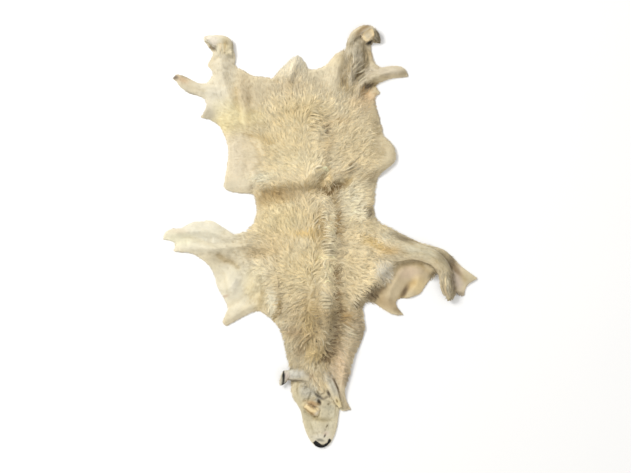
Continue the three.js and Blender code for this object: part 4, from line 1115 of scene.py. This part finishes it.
def grow_hair(kind, relief, grows):
    """Hairs of one kind as arrays: their stations, widths, colours and roots."""
    chance = np.random.default_rng(kind.seed)
    x, y = (part.ravel() for part in scattered(kind.spacing, chance))
    luck = chance.uniform(0, 1, len(x))
    inside = relief.depth_at(x, y) > RIM_MARGIN
    x, y, luck = x[inside], y[inside], luck[inside]
    wanted = luck < grows(x, y) * (1 - BARE_THINNING * most_at(BARE_PLACES, x, y))
    x, y = x[wanted], y[wanted]

    clump_x, clump_y = scattered(kind.clump_spacing, chance)
    clump = nearest_clump(x, y, hair_at(x, y)[0], clump_x, clump_y, kind)
    centres = np.column_stack([clump_x.ravel(), clump_y.ravel()])
    used, own = np.unique(clump, return_inverse=True)
    cx, cy = centres[used].T
    heading, length, stand, wave = hair_at(cx, cy)
    number = len(used)
    heading = heading + chance.normal(0, kind.wander, number)
    length = length * chance.uniform(*CLUMP_LENGTHS, number)
    bend = chance.normal(*kind.bend, number)
    phase = chance.normal(0, PHASE_SPREAD, number) + PHASE_DRIFT * SWAY_X.at(cx, cy)
    clump_tone = np.clip(chance.normal(0, 1, number), -TONE_LIMIT, TONE_LIMIT)
    way = (y - cy[own]) * np.cos(heading[own]) - (x - cx[own]) * np.sin(heading[own])
    lean = np.clip(way / (0.5 * kind.clump_spacing), -1.1, 1.1)
    edge = lean**2

    count = len(x)
    own_length = length[own] * chance.uniform(*HAIR_LENGTHS, count)
    own_stand = stand[own] * chance.uniform(*HAIR_STANDS, count) * (1.15 - 0.5 * edge) * kind.lift
    own_phase = phase[own] + chance.normal(0, 0.15, count)
    stray_x, stray_y = chance.normal(0, kind.stray, (2, count))
    stations = np.linspace(0, 1, kind.rings + 1)
    path = np.empty((count, len(stations), 3))
    for k, t in enumerate(stations):
        turned = heading[own] + bend[own] * t
        along = own_length * t
        side = wave[own] * (np.sin(2 * math.pi * kind.waves * t + own_phase) - np.sin(own_phase))
        gather = 1 - kind.pinch * t
        path[:, k, 0] = cx[own] + (x - cx[own]) * gather + stray_x * t
        path[:, k, 1] = cy[own] + (y - cy[own]) * gather + stray_y * t
        path[:, k, 0] += along * np.cos(turned) - side * np.sin(turned)
        path[:, k, 1] += along * np.sin(turned) + side * np.cos(turned)

    past_rim = -relief.depth_at(path[:, -1, 0], path[:, -1, 1])
    root_depth = relief.depth_at(x, y)
    allowed = (kind.overhang + root_depth) / np.maximum(past_rim + root_depth, 1e-6)
    held = np.clip(np.where(past_rim > kind.overhang, allowed, 1), 0.1, 1)[:, None]
    for axis in (0, 1):
        root = path[:, :1, axis].copy()
        path[:, :, axis] = root + (path[:, :, axis] - root) * held

    step = np.maximum(own_length / kind.rings, 1.0)
    for k, t in enumerate(stations):
        arch = (1 - (1 - t) ** 2) * (1 - 0.35 * t)
        level = relief.height_at(path[:, k, 0], path[:, k, 1]) + own_stand * arch
        if k == 0:
            path[:, k, 2] = np.maximum(level - UNDER_SKIN, LOWEST)
        else:
            before = path[:, k - 1, 2]
            path[:, k, 2] = np.clip(level, before - MOST_FALL * step, before + MOST_RISE * step)
    path[:, 1:, 2] = np.maximum(path[:, 1:, 2], LEAST_RISE)

    streaks = kind.tone * (1 + most_at(STREAKED_PLACES, x, y))
    tone = 1 + streaks * clump_tone[own] + HAIR_TONE * chance.normal(0, 1, count)
    tone = tone + MOTTLE_TONE * MOTTLE.at(x, y) + HAIR_TONE * SWAY_X.at(1.4 * x, 1.4 * y)
    tone = tone * (1 + kind.gap_shade * (EVEN_SHADE - edge))
    warmth = chance.normal(0, WARMTH, count) + WARMTH * MOTTLE.at(x, y)
    colour = tint_at(x, y) * tone[:, None] * (1 + warmth[:, None] * WARM_SHIFT)
    roll = chance.normal(0, HAIR_ROLL, count)
    width = kind.width * chance.uniform(*HAIR_WIDTHS, count)
    return path, width, roll, lean, np.clip(colour, *COLOUR_RANGE)


def hair_mesh(name, kind, relief, path, width, roll, lean, colour):
    """Tapered three-sided hairs with closed ends, all in one mesh."""
    count = len(path)
    rings = kind.rings
    ahead = np.empty((count, rings, 3))
    ahead[:, 0] = path[:, 1] - path[:, 0]
    for k in range(1, rings):
        ahead[:, k] = path[:, k + 1] - path[:, k - 1]
    ahead /= np.maximum(np.linalg.norm(ahead, axis=2, keepdims=True), 1e-9)
    side = np.cross(ahead, [0, 0, 1])
    side /= np.maximum(np.linalg.norm(side, axis=2, keepdims=True), 1e-6)
    up = np.cross(side, ahead)
    c = np.cos(roll)[:, None, None]
    s = np.sin(roll)[:, None, None]
    side, up = side * c + up * s, up * c - side * s

    stations = np.linspace(0, 1, rings + 1)
    fullness = np.interp(stations[:-1], [0, 0.3, 0.7, 1], [0.8, 1.0, 0.75, 0.2])
    half = 0.5 * width[:, None, None] * fullness[None, :, None]
    corners = np.empty((count, 3 * rings + 1, 3))
    facing = np.empty_like(corners)
    skin = relief.normal_at(path[..., 0], path[..., 1])
    for n, (across, above) in enumerate(((-1, -0.15), (1, -0.15), (0, 0.42))):
        outward = side * (across - LOCK_ROUNDNESS * lean[:, None, None]) + up * (above + 0.1)
        corners[:, n:3 * rings:3] = path[:, :-1] + (side * across + up * above) * half
        facing[:, n:3 * rings:3] = outward
    corners[:, -1] = path[:, -1]
    facing[:, -1] = up[:, -1] - LOCK_ROUNDNESS * lean[:, None] * side[:, -1]
    facing /= np.linalg.norm(facing, axis=2, keepdims=True)
    below = np.concatenate([np.repeat(skin[:, :-1], 3, axis=1), skin[:, -1:]], axis=1)
    facing = SKIN_NORMAL_SHARE * below + (1 - SKIN_NORMAL_SHARE) * facing
    facing /= np.linalg.norm(facing, axis=2, keepdims=True)

    faces = [(0, 1, 2)]
    for k in range(rings - 1):
        a, b = 3 * k, 3 * k + 3
        for p, q in ((0, 1), (1, 2), (2, 0)):
            faces += [(a + q, a + p, b + p), (a + q, b + p, b + q)]
    a, tip = 3 * (rings - 1), 3 * rings
    faces += [(a + 1, a, tip), (a + 2, a + 1, tip), (a, a + 2, tip)]
    offsets = np.arange(count)[:, None, None] * (3 * rings + 1)
    triangles = (np.array(faces)[None] + offsets).reshape(-1, 3)

    along = np.append(np.repeat(stations[:-1], 3), 1)
    grown_out = np.interp(along, [0, 0.35, 1], [0, 0.85, 1])[None, :, None]
    tints = colour[:, None, :] * (kind.root_shade + (TIP_SHADE - kind.root_shade) * grown_out)
    hair = build_mesh(name, corners.reshape(-1, 3) * MM, triangles, tints.reshape(-1, 3))
    hair.data.normals_split_custom_set_from_vertices(facing.reshape(-1, 3))
    return hair


def build_mesh(name, points, triangles, tints):
    mesh = bpy.data.meshes.new(name)
    mesh.vertices.add(len(points))
    mesh.vertices.foreach_set("co", points.ravel())
    mesh.loops.add(triangles.size)
    mesh.loops.foreach_set("vertex_index", triangles.ravel())
    mesh.polygons.add(len(triangles))
    mesh.polygons.foreach_set("loop_start", np.arange(0, triangles.size, 3))
    mesh.polygons.foreach_set("use_smooth", np.ones(len(triangles), dtype=bool))
    mesh.update(calc_edges=True)
    paint_points(mesh, "tint", tints)
    made = bpy.data.objects.new(name, mesh)
    bpy.context.scene.collection.objects.link(made)
    return made


def refined(rows, times):
    """A smooth curve through rows of numbers, with so many steps between each two."""
    rows = np.asarray(rows, dtype=float)
    padded = np.concatenate([2 * rows[:1] - rows[1:2], rows, 2 * rows[-1:] - rows[-2:-1]])
    curve = []
    for n in range(len(rows) - 1):
        a, b, c, d = padded[n:n + 4]
        for t in np.arange(times) / times:
            curve.append(0.5 * (
                2 * b + (c - a) * t + (2 * a - 5 * b + 4 * c - d) * t**2
                + (3 * b - a - 3 * c + d) * t**3
            ))
    curve.append(rows[-1])
    return np.array(curve)


def make_scrap(name, rows, relief, thickness=SCRAP_THICKNESS):
    """A thin scrap of skin that follows the pelt: a closed sheet through rows of places."""
    grid = np.array([[(*spot[:3], *PAINTS[spot[3]]) for spot in row] for row in rows])
    grid = refined(grid, SCRAP_STEPS)
    grid = refined(grid.transpose(1, 0, 2), SCRAP_STEPS).transpose(1, 0, 2)
    x, y, lift = grid[..., 0], grid[..., 1], grid[..., 2]
    crumple = 0.7 * FINE_TUFTS.at(2.2 * x, 2.2 * y) + 0.5 * FINE_MOTTLE.at(1.3 * x, 1.3 * y)
    top = np.stack([x, y, relief.height_at(x, y) + lift + crumple], axis=-1)
    along = np.gradient(top, axis=0)
    across = np.gradient(top, axis=1)
    normal = np.cross(along, across)
    normal *= np.sign(normal[..., 2:])
    normal /= np.linalg.norm(normal, axis=-1, keepdims=True)
    bottom = top - thickness * normal
    count, width = x.shape
    number = np.arange(count * width).reshape(count, width)
    a, b = number[:-1, :-1].ravel(), number[1:, :-1].ravel()
    c, d = number[1:, 1:].ravel(), number[:-1, 1:].ravel()
    upper = np.concatenate([np.column_stack([a, b, c]), np.column_stack([a, c, d])])
    if np.cross(along, across)[..., 2].mean() < 0:
        upper = upper[:, ::-1]
    far = count * width  # from a point on top to the one below it
    lower = upper[:, ::-1] + far
    edges = np.concatenate([upper[:, [0, 1]], upper[:, [1, 2]], upper[:, [2, 0]]])
    known = {tuple(edge) for edge in edges.tolist()}
    rim = [(p, q) for p, q in edges.tolist() if (q, p) not in known]
    sides = np.array([f for p, q in rim for f in ((q, p, p + far), (q, p + far, q + far))])
    points = np.concatenate([top.reshape(-1, 3), bottom.reshape(-1, 3)])
    points[:, 2] = np.maximum(points[:, 2], 0)
    paint = np.clip(grid[..., 3:].reshape(-1, 3), 0.003, 0.95)
    paint *= 1 + 0.1 * FINE_MOTTLE.at(x.ravel() * 1.6, y.ravel() * 1.6)[:, None]
    # The underside is painted at 0.7 of the top's colour: painted shade.
    tints = np.concatenate([paint, 0.7 * paint])
    return build_mesh(name, points * MM, np.concatenate([upper, lower, sides]), tints)


class Wire:
    """A node's output that sums can be written with. Each sum adds a Math node."""

    def __init__(self, recipe, socket):
        self.recipe = recipe
        self.socket = socket

    def math(self, operation, first, second):
        node = self.recipe.node("ShaderNodeMath", {"operation": operation}, {0: first, 1: second})
        return self.recipe.wire(node, 0)

    def __add__(self, other):
        return self.math("ADD", self, other)

    def __radd__(self, other):
        return self.math("ADD", other, self)

    def __sub__(self, other):
        return self.math("SUBTRACT", self, other)

    def __rsub__(self, other):
        return self.math("SUBTRACT", other, self)

    def __mul__(self, other):
        return self.math("MULTIPLY", self, other)

    def __rmul__(self, other):
        return self.math("MULTIPLY", other, self)


class Recipe:
    """One material's nodes."""

    def __init__(self, name):
        self.material = bpy.data.materials.new(name)
        self.material.use_nodes = True
        self.tree = self.material.node_tree
        self.tree.nodes.clear()

    def node(self, kind, settings=None, inputs=None):
        """Adds a node: its settings first, then a value or a wire for each named input."""
        node = self.tree.nodes.new(kind)
        for name, value in (settings or {}).items():
            setattr(node, name, value)
        for name, value in (inputs or {}).items():
            if isinstance(value, Wire):
                self.tree.links.new(value.socket, node.inputs[name])
            else:
                node.inputs[name].default_value = value
        return node

    def wire(self, node, output):
        return Wire(self, node.outputs[output])

    def attribute(self, name, output):
        return self.wire(self.node("ShaderNodeAttribute", {"attribute_name": name}), output)

    def place(self):
        return self.wire(self.node("ShaderNodeTexCoord"), "Object")

    def noise(self, scale, detail=3.0, distortion=0.0):
        """Noise from 0 to 1; scale is in waves a metre."""
        inputs = {"Vector": self.place(), "Scale": scale}
        inputs.update({"Detail": detail, "Distortion": distortion})
        return self.wire(self.node("ShaderNodeTexNoise", {}, inputs), "Fac")

    def cells(self, scale):
        inputs = {"Vector": self.place(), "Scale": scale}
        return self.wire(self.node("ShaderNodeTexVoronoi", {}, inputs), "Distance")

    def mix(self, factor, first, second, blend="MIX"):
        """Two colours mixed."""
        settings = {"data_type": "RGBA", "blend_type": blend}
        node = self.node("ShaderNodeMix", settings, {0: factor, 6: first, 7: second})
        return self.wire(node, 2)

    def tinted(self, light):
        """The colour stored with each point, made lighter or darker by a number."""
        tint = self.attribute("tint", "Color")
        return self.mix(1.0, tint, self.grey(light), blend="MULTIPLY")

    def grey(self, value):
        """A number as a grey colour."""
        inputs = {"Red": value, "Green": value, "Blue": value}
        return self.wire(self.node("ShaderNodeCombineColor", {}, inputs), 0)

    def bump(self, height, distance, strength=1.0):
        inputs = {"Height": height, "Distance": distance, "Strength": strength}
        return self.wire(self.node("ShaderNodeBump", {}, inputs), "Normal")

    def finish(self, inputs):
        shader = self.node("ShaderNodeBsdfPrincipled", {}, inputs)
        self.node("ShaderNodeOutputMaterial", {}, {"Surface": self.wire(shader, "BSDF")})
        return self.material


def hide_finish():
    """Short dense hair on skin, or the dry skin itself where it is bare."""
    recipe = Recipe("hide_finish")
    bare = recipe.attribute("bare", "Fac")
    fibres = recipe.noise(420, detail=4, distortion=0.6)
    blotches = recipe.noise(38, detail=4)
    pores = recipe.cells(900)
    height = fibres * (1 - bare) + 0.5 * pores * bare + 0.6 * blotches * bare
    return recipe.finish({
        "Base Color": recipe.tinted(0.8 + 0.26 * fibres + 0.12 * blotches),
        "Roughness": 0.88 - 0.28 * bare,
        "Normal": recipe.bump(height, 0.0016, 0.6),
        "Sheen Weight": 0.15,
        "Sheen Roughness": 0.5,
    })


def hair_finish():
    """Dry matt hair, darker at its root."""
    recipe = Recipe("hair_finish")
    streaks = recipe.noise(260, detail=3)
    return recipe.finish({
        "Base Color": recipe.tinted(0.86 + 0.26 * streaks),
        "Roughness": 0.62 + 0.2 * streaks,
        "Specular IOR Level": 0.3,
        "Sheen Weight": 0.2,
        "Sheen Roughness": 0.45,
    })


def skin_finish():
    """Dry bare skin: fine wrinkles, and a faint gloss where it is stretched."""
    recipe = Recipe("skin_finish")
    wrinkles = recipe.noise(190, detail=5, distortion=1.4)
    pores = recipe.cells(1100)
    return recipe.finish({
        "Base Color": recipe.tinted(0.8 + 0.36 * wrinkles),
        "Roughness": 0.52 + 0.22 * wrinkles,
        "Normal": recipe.bump(wrinkles + 0.3 * pores, 0.0018, 0.8),
    })


def nose_finish():
    """Dried black nose leather with a fine pebbled grain."""
    recipe = Recipe("nose_finish")
    pebbles = recipe.cells(700)
    wear = recipe.noise(160, detail=4)
    return recipe.finish({
        "Base Color": recipe.tinted(0.7 + 0.8 * wear),
        "Roughness": 0.42 + 0.3 * wear,
        "Specular IOR Level": 0.25,
        "Normal": recipe.bump(pebbles, 0.0012, 0.7),
    })


def floor_finish():
    recipe = Recipe("floor_finish")
    cloud = recipe.noise(1.5, detail=2)
    return recipe.finish({
        "Base Color": recipe.mix(cloud, (0.93, 0.93, 0.925, 1), (0.95, 0.95, 0.945, 1)),
        "Roughness": 0.9,
        "Specular IOR Level": 0.1,
    })


def near_crest(x, y):
    """The share of mane hair: 1 on the line of the crest, falling to 0 beside it."""
    return np.exp(-((distance_to_line(x, y, CREST) / CREST_REACH) ** 2))



def grows_wool(x, y):
    length = hair_at(x, y)[1]
    return np.clip((length - WOOL_LENGTH) / 5 + 0.5, 0, 1) * (1 - 0.5 * near_crest(x, y))


def grows_short(x, y):
    return np.clip((WOOL_LENGTH + 5 - hair_at(x, y)[1]) / 6, 0, 1)


def coat_pieces(relief):
    """All the hair. Each kind is cut across into pieces, from the tail to the nose."""
    pieces = []
    for kind, grows in ((MANE, near_crest), (WOOL, grows_wool), (SHORT, grows_short)):
        grown = grow_hair(kind, relief, grows)
        order = np.argsort(-grown[0][:, 0, 1], kind="stable")
        most = MOST_TRIANGLES // (6 * kind.rings - 2)
        for number, start in enumerate(range(0, len(order), most), 1):
            here = order[start:start + most]
            part = [values[here] for values in grown]
            pieces.append(hair_mesh(f"{kind.name}_{number}", kind, relief, *part))
    pieces.append(hair_mesh("laid_locks", LOCK, relief, *lay_locks(LOCK, relief)))
    return pieces


def make_camera():
    data = bpy.data.cameras.new("camera")
    data.lens = LENS
    data.sensor_width = SENSOR
    camera = bpy.data.objects.new("camera", data)
    bpy.context.scene.collection.objects.link(camera)
    middle_x = (PICTURE_WIDTH / 2 - ORIGIN_PIXEL[0]) * PIXEL
    middle_y = (ORIGIN_PIXEL[1] - PICTURE_HEIGHT / 2) * PIXEL
    distance = PICTURE_WIDTH * PIXEL * LENS / SENSOR
    camera.location = (middle_x, middle_y, distance + COAT_LEVEL)
    bpy.context.scene.camera = camera


def add_area_light(name, place, size, power):
    """A soft lamp that points at the middle of the pelt."""
    data = bpy.data.lights.new(name, "AREA")
    data.size = size
    data.energy = power
    light = bpy.data.objects.new(name, data)
    light.location = place
    light.rotation_euler = (-Vector(place)).to_track_quat("-Z", "Y").to_euler()
    bpy.context.scene.collection.objects.link(light)


def make_stage():
    bpy.ops.mesh.primitive_plane_add(size=12, location=(0, 0, 0))
    floor = bpy.context.object
    floor.name = "floor"
    floor.data.materials.append(floor_finish())
    add_area_light("key_light", place=(-3.6, 2.6, 4.0), size=2.1, power=257)
    add_area_light("fill_light", place=(2.6, -2.4, 4.5), size=4.0, power=36)
    world = bpy.data.worlds.new("studio")
    world.use_nodes = True
    sky = world.node_tree.nodes["Background"]
    sky.inputs["Color"].default_value = (1.0, 0.985, 0.96, 1)
    sky.inputs["Strength"].default_value = 0.635
    bpy.context.scene.world = world
    bpy.context.scene.view_settings.view_transform = "Standard"


make_camera()
make_stage()

hide = make_hide(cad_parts["pelt"])
hide.data.materials.append(hide_finish())
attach(hide, "root")
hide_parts("pelt")

relief = Relief(hide)
hair = hair_finish()
coat = coat_pieces(relief)
for piece in coat:
    piece.data.materials.append(hair)
    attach(piece, "root")

bare = skin_finish()
for name, rows in (
    ("left_ear_tip", EAR_TIP),
    ("dried_skin", DRIED_SKIN),
    ("right_hind_lining", HIND_LINING),
    ("left_hind_flap", TOE_FLAP),
):
    scrap = make_scrap(name, rows, relief)
    scrap.data.materials.append(bare)
    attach(scrap, "root")

nose = make_scrap("nose", NOSE, relief, thickness=NOSE_THICKNESS)
nose.data.materials.append(nose_finish())
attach(nose, "root")
